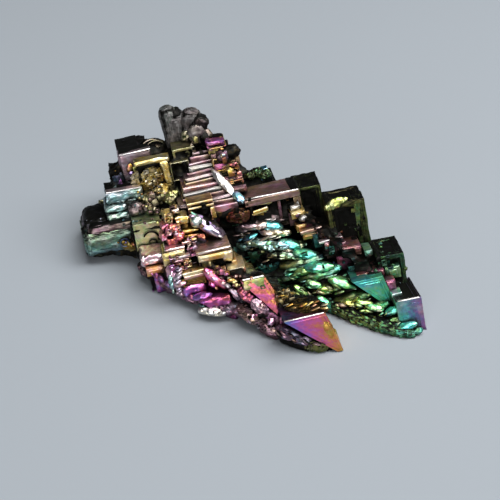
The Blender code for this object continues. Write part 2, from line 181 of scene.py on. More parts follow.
def bismuth_finish():
    metal = bpy.data.materials.new("oxidised_bismuth_with_painted_shade")
    metal.use_nodes = True
    nodes = metal.node_tree.nodes
    links = metal.node_tree.links
    shader = nodes["Principled BSDF"]
    shader.inputs["Metallic"].default_value = 1.0

    def node(kind, **settings):
        made = nodes.new(kind)
        for key, value in settings.items():
            setattr(made, key, value)
        return made

    def noise(scale, detail=3.0, stretch=None):
        made = node("ShaderNodeTexNoise")
        made.inputs["Scale"].default_value = scale
        made.inputs["Detail"].default_value = detail
        source = place.outputs["Object"]
        if stretch:
            turned = node("ShaderNodeMapping")
            turned.inputs["Scale"].default_value = stretch
            turned.inputs["Rotation"].default_value = [-radians(a) for a in LATTICE_LEAN]
            links.new(source, turned.inputs["Vector"])
            source = turned.outputs["Vector"]
        links.new(source, made.inputs["Vector"])
        return made.outputs["Fac"]

    def combine(operation, first, second):
        made = node("ShaderNodeMath", operation=operation)
        for socket, value in zip(made.inputs, (first, second)):
            if isinstance(value, float):
                socket.default_value = value
            else:
                links.new(value, socket)
        return made.outputs["Value"]

    def spread(value, low, high, to_low, to_high):
        made = node("ShaderNodeMapRange")
        made.inputs["From Min"].default_value = low
        made.inputs["From Max"].default_value = high
        made.inputs["To Min"].default_value = to_low
        made.inputs["To Max"].default_value = to_high
        links.new(value, made.inputs["Value"])
        return made.outputs["Result"]

    def blend(factor, first, second):
        made = node("ShaderNodeMix", data_type="RGBA")
        links.new(factor, made.inputs["Factor"])
        for name, value in (("A", first), ("B", second)):
            socket = [s for s in made.inputs if s.name == name and s.type == "RGBA"][0]
            if isinstance(value, tuple):
                socket.default_value = value
            else:
                links.new(value, socket)
        return [s for s in made.outputs if s.type == "RGBA"][0]

    place = node("ShaderNodeTexCoord")
    # The face attribute holds film, then dullness with painted shade on level tops and in recesses, then bare
    # silver with a painted highlight on edges.
    skin = node("ShaderNodeAttribute", attribute_name="oxide_and_shade")
    parts = node("ShaderNodeSeparateXYZ")
    links.new(skin.outputs["Vector"], parts.inputs["Vector"])
    film, dull, pale = (parts.outputs[axis] for axis in "XYZ")

    drift = spread(noise(DRIFT_SCALE, 4.0), *USUAL_NOISE, -FILM_DRIFT, FILM_DRIFT)
    grain = spread(noise(GRAIN_SCALE), *USUAL_NOISE, -FILM_GRAIN, FILM_GRAIN)
    streaks = noise(STREAK_SCALE, stretch=(0.35, 1.0, 2.6))
    bands = spread(streaks, *USUAL_NOISE, -FILM_STREAKS, FILM_STREAKS)
    thickness = combine("ADD", combine("ADD", combine("ADD", film, drift), grain), bands)
    ramp = node("ShaderNodeValToRGB")
    stops = ramp.color_ramp.elements
    while len(stops) < len(FILM_COLOURS):
        stops.new(0.5)
    for stop, (at, colour) in zip(stops, FILM_COLOURS):
        stop.position = at
        stop.color = (*colour, 1.0)
    links.new(thickness, ramp.inputs["Fac"])

    patchy = spread(noise(PATCH_SCALE, 4.0), 0.42, 0.68, -0.25, 0.45)
    bare = node("ShaderNodeClamp")
    links.new(combine("ADD", pale, combine("MULTIPLY", patchy, 0.5)), bare.inputs["Value"])
    tinted = blend(bare.outputs["Result"], ramp.outputs["Color"], BARE_SILVER)
    smut = spread(noise(SMUT_SCALE, 5.0, (0.6, 1.0, 1.0)), 0.35, 0.65, -0.5, 0.5)
    clean = node("ShaderNodeClamp")
    links.new(combine("SUBTRACT", 1.04, dull), clean.inputs["Value"])
    dark = node("ShaderNodeClamp")
    uneven = combine("MULTIPLY", smut, combine("MULTIPLY", dull, clean.outputs["Result"]))
    links.new(combine("ADD", dull, uneven), dark.inputs["Value"])
    toned = blend(dark.outputs["Result"], tinted, TARNISH_AND_SHADE)
    # Painted shade: ambient occlusion darkens the colour towards near black in hollows and between crystals.
    painted_shade_ao = node("ShaderNodeAmbientOcclusion", samples=6)
    painted_shade_ao.inputs["Distance"].default_value = PAINTED_SHADE_REACH
    shade = spread(painted_shade_ao.outputs["AO"], 0.28, 0.8, 0.0, 1.0)
    links.new(blend(shade, TARNISH_AND_SHADE, toned), shader.inputs["Base Color"])

    rough = spread(dark.outputs["Result"], 0.0, 1.0, POLISHED, TARNISHED)
    matt = spread(combine("MULTIPLY", dull, pale), 0.2, 0.7, 0.0, 0.2)
    rough = combine("ADD", rough, matt)
    links.new(combine("ADD", rough, spread(streaks, *USUAL_NOISE, -0.06, 0.08)), shader.inputs["Roughness"])
    fine = node("ShaderNodeBump")
    fine.inputs["Strength"].default_value = BUMP_STRENGTH
    fine.inputs["Distance"].default_value = BUMP_HEIGHT
    links.new(combine("ADD", streaks, combine("MULTIPLY", noise(BUMP_SCALE), 0.7)), fine.inputs["Height"])
    links.new(fine.outputs["Normal"], shader.inputs["Normal"])
    return metal


bismuth = bismuth_finish()


# The crest of the right arm. Open hoppers step down to the right tip, with small bright steps before
# them, all on one cubic lattice that leans a little. A hopper is a square crystal whose faces are
# stepped in ring by ring, because its edges grew faster than its middle.
LEAN = Euler([radians(a) for a in LATTICE_LEAN], "ZXY").to_matrix().to_4x4()
LATTICE = Matrix.Translation(LOOK_AT) @ LEAN @ Matrix.Scale(MM, 4)
SIDES = {
    "front": Vector((0, -1, 0)),
    "back": Vector((0, 1, 0)),
    "left": Vector((-1, 0, 0)),
    "right": Vector((1, 0, 0)),
    "top": Vector((0, 0, 1)),
}
STILL = (0.0, 0.0, 0.0)
chance = random.Random(4947)
coats = []


def tone(film, dull=0.2, pale=0.0, drift=STILL, ring=0.0, top=0.3):
    """One crystal's oxide: film, dullness, bare silver, drift per mm, change per mm of depth, and painted
    shade on its level top.
    """
    return film, dull, pale, drift, ring, top


def only(thing):
    bpy.ops.object.select_all(action="DESELECT")
    thing.select_set(True)
    bpy.context.view_layer.objects.active = thing


def square_crystal(size):
    """A square crystal in millimetres, its front top right corner at the origin, in edit mode."""
    bpy.ops.object.select_all(action="DESELECT")
    bpy.ops.mesh.primitive_cube_add(size=1.0, location=(-0.5 * size[0], 0.5 * size[1], -0.5 * size[2]))
    thing = bpy.context.object
    thing.scale = size
    bpy.ops.object.transform_apply(location=True, rotation=False, scale=True)
    bpy.ops.object.mode_set(mode="EDIT")
    bpy.ops.mesh.select_mode(type="FACE")
    return thing


SQUARELY = 0.95
RING_SLOPE = 0.02


def step_face(thing, side, rings):
    """Step the largest face on one side: each ring is its width and how far the rest moves out."""
    shape = bmesh.from_edit_mesh(thing.data)
    for face in shape.faces:
        face.select = False
    facing = [f for f in shape.faces if f.normal.dot(SIDES[side]) > SQUARELY]
    chosen = max(facing, key=lambda f: f.calc_area())
    chosen.select = True
    shape.faces.active = chosen
    bmesh.update_edit_mesh(thing.data)
    for width, rise in rings:
        bpy.ops.mesh.inset(thickness=width, depth=0.0)
        bpy.ops.mesh.inset(thickness=RING_SLOPE, depth=rise)


SHARP = 40.0
WIDE_ROUND = 0.25
FINE_ROUND = 0.07


def round_edges(thing, width):
    """Round the sharp edges, in more steps the wider the round is."""
    bevel = thing.modifiers.new("melt_round", "BEVEL")
    bevel.width = width
    bevel.segments = 4 if width > WIDE_ROUND else 2 if width > FINE_ROUND else 1
    bevel.limit_method = "ANGLE"
    bevel.angle_limit = radians(SHARP)
    only(thing)
    bpy.ops.object.modifier_apply(modifier=bevel.name)


EVEN = (1.0, 1.0, 1.0)


def push_skin(thing, rough, grain, stretch=EVEN):
    """Push the skin in and out by a cloudy pattern, which can be drawn out upwards into fine lines."""
    elsewhere = Matrix.Translation([chance.uniform(-20.0, 20.0) for axis in range(3)])
    apart = elsewhere @ Matrix.Diagonal((*stretch, 1.0))
    thing.data.transform(apart)
    clouds = bpy.data.textures.new("melt", "CLOUDS")
    clouds.noise_scale = grain * chance.uniform(0.8, 1.2)
    only(thing)
    for heading in ("NORMAL",) if stretch == EVEN else ("X", "Y"):
        push = thing.modifiers.new("melt", "DISPLACE")
        push.texture = clouds
        push.direction = heading
        push.strength = rough * 2.0
        push.mid_level = 0.5
        bpy.ops.object.modifier_apply(modifier=push.name)
    thing.data.transform(apart.inverted())


FEWEST_TRIANGLES = 300
TRIANGLES_PER_MM2 = 60


def thin_out(thing):
    """Keep only as many triangles as the size of a crystal calls for."""
    count = sum(len(face.vertices) - 2 for face in thing.data.polygons)
    wanted = FEWEST_TRIANGLES + TRIANGLES_PER_MM2 * sum(face.area for face in thing.data.polygons)
    if count > wanted:
        thin = thing.modifiers.new("thin_out", "DECIMATE")
        thin.ratio = wanted / count
        only(thing)
        bpy.ops.object.modifier_apply(modifier=thin.name)


DEEP_MELT = 0.1
SECOND_ROUGH = 0.3
SECOND_GRAIN = 0.35


def weather(thing, cuts, rough, grain, stretch=EVEN):
    """Roughen a crystal that has half melted again, a deeply melted one twice."""
    only(thing)
    bpy.ops.object.mode_set(mode="EDIT")
    bpy.ops.mesh.select_all(action="SELECT")
    bpy.ops.mesh.subdivide(number_cuts=cuts)
    bpy.ops.object.mode_set(mode="OBJECT")
    push_skin(thing, rough, grain, stretch)
    if stretch == EVEN:
        if rough > DEEP_MELT:
            push_skin(thing, SECOND_ROUGH * rough, SECOND_GRAIN * grain)
        thin_out(thing)


FILM_JITTER = 0.025
DARKEST = 1.3
# Edge faces get a painted highlight, level faces painted shade, recesses painted shade by depth.
SLANTED = 0.97
EDGE_HIGHLIGHT_BAND = 0.2
TOP_SHADE_FROM = 0.6
TOP_SHADE_GAIN = 4.0
DEPTH_SHADE = 0.45


def coat_with_painted_light(thing, oxide_and_shade, size=None):
    """Give every corner its film thickness, dullness and bare silver, with painted shade on level tops and in
    hollows and a painted highlight on edges.
    """
    film, dull, pale, drift, ring, top = oxide_and_shade
    mesh = thing.data
    skin = mesh.attributes.new("oxide_and_shade", "FLOAT_VECTOR", "CORNER")
    middle = sum((v.co for v in mesh.vertices), Vector()) / len(mesh.vertices)
    for face in mesh.polygons:
        # Painted shade on level tops, as much as top says.
        shade = dull + top * min(1.0, max(0.0, face.normal.z - TOP_SHADE_FROM) * TOP_SHADE_GAIN)
        shine = pale
        deep = 0.0
        if size:
            at = face.center
            walls = (at.y, size[1] - at.y, -at.z, size[2] + at.z, -at.x, size[0] + at.x)
            deep = max(0.0, min(walls))
            # Painted shade in recesses, darker the deeper they lie.
            shade += DEPTH_SHADE * deep
            # Painted highlight on slanted edge faces: less dull and more bare silver.
            if max(abs(n) for n in face.normal) < SLANTED and deep < EDGE_HIGHLIGHT_BAND:
                shade *= 0.45 + 0.5 * dull
                shine += 0.3 * (1.0 - dull)
        jitter = chance.uniform(-FILM_JITTER, FILM_JITTER)
        for corner in face.loop_indices:
            place = mesh.vertices[mesh.loops[corner].vertex_index].co - middle
            here = film + sum(slope * along for slope, along in zip(drift, place)) + ring * deep + jitter
            skin.data[corner].vector = (here, min(DARKEST, shade), shine)


BOX_GAP = 0.01 * MM


def way_back_in(thing):
    """How far a crystal has to move to stay inside the solid's box, apart from the floor."""
    move = Vector()
    for axis in range(3):
        reach = [point.co[axis] for point in thing.data.vertices]
        move[axis] = min(0.0, cad_box[1][axis] - BOX_GAP - max(reach))
        if axis < 2:
            move[axis] += max(0.0, cad_box[0][axis] + BOX_GAP - min(reach))
    return move


WELD = 0.001 * MM


def trim_at_floor(thing, height):
    """Cut a crystal off level just above the floor, or press it flat there if a cut would leave it open."""
    whole = thing.data.copy()
    only(thing)
    bpy.ops.object.mode_set(mode="EDIT")
    bpy.ops.mesh.select_mode(type="EDGE")
    bpy.ops.mesh.select_all(action="SELECT")
    bpy.ops.mesh.bisect(plane_co=(0, 0, height), plane_no=(0, 0, 1), use_fill=True, clear_inner=True,
                        threshold=WELD)
    bpy.ops.mesh.select_all(action="DESELECT")
    bpy.ops.mesh.select_non_manifold()
    torn = any(edge.select for edge in bmesh.from_edit_mesh(thing.data).edges)
    bpy.ops.object.mode_set(mode="OBJECT")
    if torn:
        thing.data = whole
        for point in whole.vertices:
            point.co.z = max(point.co.z, height)


FLOOR_GAPS = (0.02, 0.14)


def plant(thing, corner, turn, oxide_and_shade):
    """Move a finished crystal to its place on the lattice, turned a little, and trim it at the floor."""
    twist = Euler([radians(a) for a in turn]).to_matrix().to_4x4()
    thing.data.transform(LATTICE @ Matrix.Translation(corner) @ twist)
    thing.data.transform(Matrix.Translation(way_back_in(thing)))
    middle = sum((v.co for v in thing.data.vertices), Vector()) / len(thing.data.vertices)
    coats.append((middle, oxide_and_shade[:3]))
    floor_gap = chance.uniform(*FLOOR_GAPS) * MM
    if min(v.co.z for v in thing.data.vertices) < floor_gap:
        trim_at_floor(thing, floor_gap)
    return thing


TWIST = 1.4
UNEVEN = (0.6, 1.4)
UNEVEN_DEPTH = (0.5, 1.5)


def small_turn(most=TWIST):
    return [chance.uniform(-most, most) for axis in range(3)]


def sunk(count, width, depth):
    """Rings that step into a face."""
    return [(width * chance.uniform(*UNEVEN), -depth * chance.uniform(*UNEVEN_DEPTH))
            for ring in range(count)]


def raised(count, width, height):
    """Rings that step out of a face."""
    return [(width * chance.uniform(*UNEVEN), height * chance.uniform(*UNEVEN)) for ring in range(count)]


def cupped(count, width, depth):
    """A front face sunk ring by ring."""
    return {"front": sunk(count, width, depth)}


def ledged(count, width, height):
    """A front face with thin ledges on it."""
    return {"front": raised(count, width, height)}


def hopper(corner, size, oxide_and_shade, work, soft=0.08, turn=None, worn=(2, 0.035, 0.5)):
    """One crystal. Work gives the rings of each stepped side, and worn its cuts, roughness and grain."""
    thing = square_crystal(size)
    for side, rings in work.items():
        step_face(thing, side, rings)
    bpy.ops.object.mode_set(mode="OBJECT")
    round_edges(thing, soft)
    weather(thing, *worn)
    coat_with_painted_light(thing, oxide_and_shade, size)
    return plant(thing, corner, turn or small_turn(), oxide_and_shade)


def in_row(start, step, i):
    """The place or the size of one crystal in a row of them."""
    return [a + b * i for a, b in zip(start, step)]


def stair(start, step, count, size, grow, tones):
    """A run of steps, each a crystal with thin ledges on its front. The oxides take turns."""
    made = []
    for i in range(count):
        corner = [place + chance.uniform(-0.05, 0.05) for place in in_row(start, step, i)]
        own_size = in_row(size, grow, i)
        oxide_and_shade = tones[i % len(tones)]
        made.append(hopper(corner, own_size, oxide_and_shade, ledged(2, 0.11, 0.05), turn=small_turn(1.6)))
    return made


SMOOTH = 42.0


def fuse(name, things):
    """Join the crystals of one part of the cluster and dress them as one piece."""
    bpy.ops.object.select_all(action="DESELECT")
    for thing in things:
        thing.select_set(True)
    bpy.context.view_layer.objects.active = things[0]
    if len(things) > 1:
        bpy.ops.object.join()
    piece = bpy.context.object
    piece.name = name
    piece.data.name = name
    piece.data.materials.clear()
    piece.data.materials.append(bismuth)
    bpy.ops.object.shade_smooth_by_angle(angle=radians(SMOOTH))
    piece["grown_with"] = "root"
    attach(piece, "root")
    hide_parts("bismuth_crystal")
    return piece


crest = [
    hopper((6.5, -6.0, 8.85), (6.4, 4.4, 0.75), tone(0.86, 0.52, 0.05, top=0.0), {"back": sunk(2, 0.12, 0.3)},
           0.12, worn=(3, 0.04, 0.6)),
    hopper((6.6, -5.95, 8.93), (1.1, 4.5, 0.9), tone(0.7, 0.88, 0.05, top=0.4), {}, 0.2, worn=(3, 0.08, 0.5)),
    # A thin strip of bare silver along the rim's front edge, a painted highlight line.
    hopper((6.4, -6.02, 8.95), (6.1, 0.3, 0.14), tone(0.05, 0.1, 0.7), {}, 0.04, worn=(3, 0.02, 0.4)),
    hopper((6.5, -5.95, 8.0), (0.85, 4.4, 4.0), tone(0.84, 0.55, 0.1), cupped(2, 0.15, 0.06), 0.15),
    # A near-black crystal set back under the rim; its dullness is painted shade for the recess.
    hopper((5.9, -4.9, 8.0), (5.7, 3.2, 3.6), tone(0.84, 0.92, top=0.1), cupped(4, 0.2, 0.2)),
    hopper((3.2, -5.9, 8.15), (2.9, 1.2, 0.3), tone(0.11, 0.0, 0.2), {}, 0.08, (0, 3, 0), (3, 0.05, 0.4)),
    hopper((2.6, -5.9, 7.6), (2.1, 2.0, 0.6), tone(0.12, 0.0, 0.05), {}, 0.16, (0, -8, 0), (3, 0.06, 0.4)),
    hopper((4.2, -5.6, 7.9), (0.4, 2.0, 2.6), tone(0.88, 0.7, 0.0), {}, 0.06),
    hopper((5.2, -5.7, 7.8), (0.35, 2.0, 2.4), tone(0.2, 0.75, 0.0), {}, 0.06),
    hopper((9.1, -5.0, 8.5), (2.9, 4.4, 7.0), tone(0.70, 0.91, 0.05, top=0.6),
           {"front": sunk(3, 0.22, 0.16), "back": sunk(4, 0.28, 0.2), "top": sunk(2, 0.3, 0.05)}, 0.55,
           worn=(5, 0.14, 0.7)),
    hopper((13.3, -8.6, 7.2), (4.3, 4.4, 8.5), tone(0.70, 0.9, 0.05, drift=(-0.01, 0, 0.01), top=0.6),
           {"front": sunk(4, 0.3, 0.12), "right": sunk(4, 0.34, 0.25), "back": sunk(4, 0.3, 0.3),
            "top": sunk(2, 0.35, 0.06)}, 0.6, worn=(5, 0.14, 0.7)),
    hopper((13.35, -8.5, 7.15), (1.3, 2.4, 7.8), tone(0.67, 0.78, 0.1), {"right": sunk(3, 0.2, 0.08)}, 0.4,
           worn=(5, 0.14, 0.5)),
    hopper((16.2, -13.0, 1.6), (3.0, 5.0, 5.5), tone(0.64, 0.88, 0.05, top=0.8),
           {"front": sunk(3, 0.26, 0.12), "right": sunk(4, 0.34, 0.2), "top": sunk(2, 0.3, 0.05)}, 0.6,
           worn=(5, 0.14, 0.7)),
    hopper((15.5, -13.4, 0.4), (1.7, 2.0, 1.5), tone(0.64, 0.3, 0.1), ledged(2, 0.2, 0.05), 0.2,
           worn=(3, 0.06, 0.5)),
    hopper((16.7, -17.5, -2.0), (2.9, 5.4, 4.4), tone(0.43, 0.42, 0.3, (-0.07, 0, 0.01), top=1.0),
           {"front": sunk(2, 0.4, 0.04), "right": sunk(4, 0.34, 0.2), "top": sunk(2, 0.3, 0.05)}, 0.6,
           worn=(5, 0.07, 0.9)),
    # A thin strip of bare silver along the tip's front edge, a painted highlight line.
    hopper((16.5, -17.55, -1.95), (2.5, 0.3, 0.14), tone(0.05, 0.1, 0.8), {}, 0.04, worn=(3, 0.02, 0.4)),
]
steps = (
    ((6.1, -6.8, 7.3), (1.0, 1.6, 0.55), 0.02, 0.2, 0.5),
    ((6.6, -7.2, 6.8), (1.6, 2.0, 0.9), 0.13, 0.2, 0.1),
    ((6.5, -7.8, 5.3), (1.2, 2.0, 0.9), 0.17, 0.25, 0.1),
    ((8.1, -8.6, 4.9), (2.6, 2.4, 0.45), 0.22, 0.4, 0.4),
    ((7.6, -8.5, 4.3), (1.8, 2.4, 0.7), 0.17, 0.45, 0.1),
    ((8.5, -9.0, 4.5), (1.1, 1.8, 0.7), 0.30, 0.1, 0.5),
    ((10.1, -9.8, 3.7), (2.8, 2.4, 0.3), 0.28, 0.1, 0.7),
    ((9.1, -10.0, 3.4), (1.2, 2.4, 0.8), 0.24, 0.35, 0.3),
    ((10.3, -10.2, 3.1), (1.0, 2.0, 0.9), 0.88, 0.5, 0.2),
    ((11.8, -11.2, 2.8), (2.1, 3.0, 1.1), 0.24, 0.5, 0.25),
    ((12.9, -12.0, 2.3), (0.9, 2.0, 0.7), 0.58, 0.3, 0.3),
    ((13.6, -13.6, 0.4), (3.1, 3.0, 0.85), 0.27, 0.35, 0.2),
    ((14.5, -14.8, -0.5), (1.1, 2.4, 1.3), 0.29, 0.45, 0.1),
    ((14.9, -16.0, -1.7), (1.2, 1.6, 0.5), 0.54, 0.1, 0.4),
    ((14.8, -16.4, -2.4), (1.0, 1.6, 0.6), 0.93, 0.1, 0.5),
)
for corner, size, film, dull, pale in steps:
    work = ledged(2, 0.1, 0.04) if size[2] > 0.5 else {}
    crest.append(hopper(corner, size, tone(film, dull, pale), work, 0.1, small_turn(3.0), (3, 0.06, 0.4)))
crest += stair((6.3, -6.6, 6.4), (1.18, -1.1, -1.12), 7, (1.5, 3.0, 1.6), (0.16, 0, 0.03),
               [tone(0.88, 0.88), tone(0.3, 0.88), tone(0.52, 0.85)])


def wedge(corner, size, lean, oxide_and_shade, soft, work=None, turn=STILL, worn=None):
    """A pointed crystal: its foot is moved to the right and drawn in, so that its front is a triangle."""
    thing = square_crystal(size)
    bpy.ops.mesh.select_mode(type="VERT")
    for whole_foot, shift in ((True, lean), (False, 0.85 * size[0])):
        shape = bmesh.from_edit_mesh(thing.data)
        for point in shape.verts:
            in_foot = point.co.z < -0.9 * size[2]
            at_its_left = point.co.x < lean - 0.9 * size[0]
            point.select = in_foot and (whole_foot or at_its_left)
        shape.select_flush_mode()
        bmesh.update_edit_mesh(thing.data)
        bpy.ops.transform.translate(value=(shift, 0, 0))
    bpy.ops.mesh.select_mode(type="FACE")
    for side, rings in (work or {}).items():
        step_face(thing, side, rings)
    bpy.ops.object.mode_set(mode="OBJECT")
    round_edges(thing, soft)
    if worn:
        weather(thing, *worn)
    coat_with_painted_light(thing, oxide_and_shade)
    return plant(thing, corner, turn, oxide_and_shade)


FINER_GRAIN = 0.3
STEPS_FILL = 0.95


def lump(centre, radii, oxide_and_shade, turn=STILL, rough=0.2, grain=0.6, blocks=0, finer=0.0):
    """A melted ridge: a ball drawn out along one axis, its skin pushed in and out or frozen in tiny steps."""
    bpy.ops.object.select_all(action="DESELECT")
    bpy.ops.mesh.primitive_ico_sphere_add(subdivisions=4, radius=1.0)
    thing = bpy.context.object
    thing.scale = radii
    bpy.ops.object.transform_apply(location=False, rotation=False, scale=True)
    thing.data.transform(Euler([radians(a) for a in turn]).to_matrix().to_4x4())
    push_skin(thing, rough, grain)
    if finer:
        push_skin(thing, finer, FINER_GRAIN * grain)
    if blocks:
        freeze = thing.modifiers.new("micro_steps", "REMESH")
        freeze.mode = "BLOCKS"
        freeze.octree_depth = blocks
        freeze.scale = STEPS_FILL
        bpy.ops.object.modifier_apply(modifier=freeze.name)
        thin_out(thing)
    coat_with_painted_light(thing, oxide_and_shade)
    return plant(thing, centre, small_turn(3.0), oxide_and_shade)


crest.append(wedge((13.2, -15.0, 0.25), (3.5, 3.4, 4.6), 1.2, tone(0.555, 0.2, 0.0, (0.012, 0, 0.012)),
                   0.12, ledged(2, 0.25, 0.05), worn=(4, 0.06, 0.7)))
for centre in ((1.7, 0.6, 9.2), (2.6, 0.8, 9.3), (3.4, 0.4, 9.0)):
    crest.append(lump(centre, (0.8, 0.7, 0.55), tone(0.66, 0.86, 0.05), grain=0.4, finer=0.08))
crest += [
    lump((6.2, -7.5, 5.9), (0.5, 0.4, 0.42), tone(0.02, 0.5, 0.5), rough=0.1),
    lump((9.8, -9.0, 7.5), (1.2, 0.5, 0.55), tone(0.70, 0.2, 0.1), (0, -20, 0), 0.18, 0.5, finer=0.03),
    lump((10.9, -9.0, 7.7), (0.6, 0.3, 0.25), tone(0.70, 0.1, 0.1), (0, -20, 0), 0.15, 0.4),
]
fuse("crest", crest)


# The ripples of the right arm.
# Long melted ridges lie one below the other down the front of the arm, with small leaves on them
# and a dark green skirt in the valley below. They grew last, from metal that was draining away.
def leaf_shapes():
    """Six rough balls of frozen metal, a millimetre in radius, to be copied and drawn out into leaves."""
    shapes = []
    for i in range(6):
        bpy.ops.object.select_all(action="DESELECT")
        bpy.ops.mesh.primitive_ico_sphere_add(subdivisions=2, radius=1.0)
        push_skin(bpy.context.object, 0.16, 0.8)
        shapes.append(bpy.context.object.data)
        bpy.data.objects.remove(bpy.context.object)
    return shapes


leaf_kinds = leaf_shapes()
LEAF_TURN = 14.0


def leaf(centre, radii, turn, oxide_and_shade):
    thing = bpy.data.objects.new("leaf", chance.choice(leaf_kinds).copy())
    bpy.context.collection.objects.link(thing)
    thing.data.transform(Matrix.Diagonal((*radii, 1.0)))
    coat_with_painted_light(thing, oxide_and_shade)
    return plant(thing, centre, turn, oxide_and_shade)


def leaves(centre, along, count, spread, size, oxide_and_shade, turn):
    """Small overlapping leaves along a ridge, smaller to its ends, with a painted highlight of bare silver on
    those to its right.
    """
    made = []
    for i in range(count):
        place = (i + 0.5) / count * 2.0 - 1.0 + chance.uniform(-0.12, 0.12)
        share = (1.1 - 0.5 * abs(place)) * chance.uniform(0.7, 1.25)
        at = [c + a * place + chance.uniform(-spread, spread) for c, a in zip(centre, along)]
        film, dull, pale = oxide_and_shade[:3]
        film += chance.uniform(-0.06, 0.06)
        dull += chance.uniform(-0.1, 0.35)
        own_turn = [t + chance.uniform(-LEAF_TURN, LEAF_TURN) for t in turn]
        # Painted highlight: the leaves at the right end get more bare silver.
        pale += 0.25 * (place > 0.4)
        made.append(leaf(at, [r * share for r in size], own_turn, tone(film, dull, pale)))
    return made


RIDGE_TURN = (0, -9, -16)
RIDGE_OXIDES = (
    (0.86, 0.1, 0.55, -0.07), (0.86, 0.1, 0.5, -0.08), (0.78, 0.15, 0.45, -0.07), (0.62, 0.3, 0.3, -0.03),
    (0.60, 0.4, 0.2, -0.02), (0.66, 0.5, 0.1, -0.03), (0.66, 0.45, 0.15, -0.03), (0.64, 0.5, 0.1, -0.02),
    (0.66, 0.45, 0.1, -0.02), (0.60, 0.45, 0.15, -0.02),
)
FIRST_RIDGE = (0.7, -4.1, 4.7)
RIDGE_STEP = (1.48, -1.52, -1.19)
RIDGE_RADII = (3.0, 1.2, 0.85)
RIGHT_TIP = 14.0
ridges = []
for i, (film, dull, pale, drift) in enumerate(RIDGE_OXIDES):
    share = 1.0 - 0.05 * abs(i - 4.5)
    centre = in_row(FIRST_RIDGE, RIDGE_STEP, i)
    radii = [radius * share for radius in RIDGE_RADII]
    ridge = tone(film, dull, pale, (drift, 0, 0.03))
    ridges.append(lump(centre, radii, ridge, RIDGE_TURN, 0.2, 0.6, finer=0.08))
    low = (centre[0] - 0.4, centre[1] - 0.9, centre[2] - 0.3)
    if i < len(RIDGE_OXIDES) - 1:
        leaf_oxide = tone(film - 0.02, 0.35, 0.3)
        ridges += leaves(low, (2.2, -0.6, 0.3), 8, 0.3, (0.75, 0.3, 0.18), leaf_oxide, RIDGE_TURN)
glints = (
    ((2.8, -6.0, 5.1), (1.2, 0.6, 0.55), 20, 0.48), ((0.1, -5.5, 4.1), (1.0, 0.6, 0.42), -24, 0.485),
    ((4.3, -7.6, 3.05), (1.6, 0.8, 0.6), 18, 0.51), ((2.3, -7.1, 3.1), (1.1, 0.6, 0.6), 24, 0.60),
    ((5.7, -9.0, 2.1), (1.6, 0.8, 0.55), 18, 0.53), ((6.8, -10.8, 1.0), (1.8, 0.8, 0.62), 3, 0.56),
    ((4.9, -10.2, 0.6), (1.1, 0.6, 0.5), -9, 0.62), ((3.7, -9.7, 0.1), (0.9, 0.5, 0.45), 12, 0.56),
    ((8.9, -12.7, -0.65), (1.8, 0.8, 0.55), 26, 0.62), ((7.0, -12.2, -1.2), (1.2, 0.6, 0.45), 10, 0.68),
    ((5.8, -11.7, -0.6), (1.1, 0.6, 0.45), 28, 0.60), ((4.6, -11.4, -1.4), (1.5, 0.6, 0.4), 38, 0.62),
    ((6.5, -13.3, -2.4), (1.3, 0.6, 0.5), 44, 0.55), ((13.3, -16.5, -3.5), (1.2, 0.6, 0.45), -20, 0.53),
    ((14.4, -18.1, -4.9), (1.4, 0.6, 0.45), -8, 0.49), ((11.6, -16.0, -2.9), (1.1, 0.6, 0.4), 20, 0.62),
    ((10.7, -14.8, -2.6), (1.2, 0.6, 0.4), 24, 0.66), ((9.2, -14.2, -2.5), (1.1, 0.6, 0.4), 16, 0.70),
)
pale_ridges = (
    ((0.9, -5.4, 5.4), (2.2, 0.8, 0.5), 0.86), ((2.9, -6.3, 4.4), (1.9, 0.8, 0.5), 0.80),
    ((3.1, -7.8, 3.3), (1.2, 0.6, 0.5), 0.52), ((1.9, -7.2, 3.1), (1.1, 0.6, 0.5), 0.54),
    ((-0.2, -4.3, 4.0), (1.1, 0.5, 0.45), 0.80), ((-0.5, -5.0, 2.8), (1.1, 0.5, 0.45), 0.56),
    ((1.2, -6.4, 3.5), (1.9, 0.8, 0.5), 0.55), ((3.6, -8.0, 2.1), (1.9, 0.8, 0.5), 0.62),
)
for centre, radii, film in pale_ridges:
    ridges.append(lump(centre, radii, tone(film, 0.1, 0.5, (-0.05, 0, 0)), (0, 6, -16), 0.2, 0.5, finer=0.08))
for row in (
    ((1.0, -5.2, 5.5), (1.9, -0.6, 0.3), 8, 0.2, (0.9, 0.35, 0.2), tone(0.86, 0.05, 0.6), RIDGE_TURN),
    ((1.2, -6.5, 3.9), (1.7, -0.6, 0.2), 8, 0.2, (0.9, 0.35, 0.2), tone(0.78, 0.05, 0.55), RIDGE_TURN),
):
    ridges += leaves(*row)
for centre, radii, dip, film in glints:
    tip = (chance.uniform(-8.0, 8.0), dip, -16)
    ridges.append(lump(centre, radii, tone(film, 0.0, 0.05, (0.03, 0, 0.08)), tip, 0.12, 0.6, finer=0.04))
    low = (centre[0] - 0.6, centre[1] - 0.1, centre[2] - 0.2)
    if centre[0] < RIGHT_TIP:
        leaf_oxide = tone(film + 0.05, 0.3, 0.2)
        ridges += leaves(low, (radii[0], -0.3, 0.0), 3, 0.15, (0.6, 0.35, 0.22), leaf_oxide, tip)
skirt = (
    (3.2, -9.0, -1.3), (4.3, -10.6, -1.9), (5.6, -11.5, -2.4), (6.9, -12.8, -2.9), (8.3, -14.1, -3.4),
    (9.7, -15.4, -3.9), (11.1, -16.5, -4.4), (12.4, -17.4, -4.8), (13.6, -17.8, -5.2),
)
for centre in skirt:
    green = tone(0.62 + chance.uniform(-0.06, 0.06), 0.82, 0.0)
    ridges.append(lump(centre, (2.1, 1.1, 0.7), green, (0, 22, -40), 0.3, 0.45, finer=0.1))
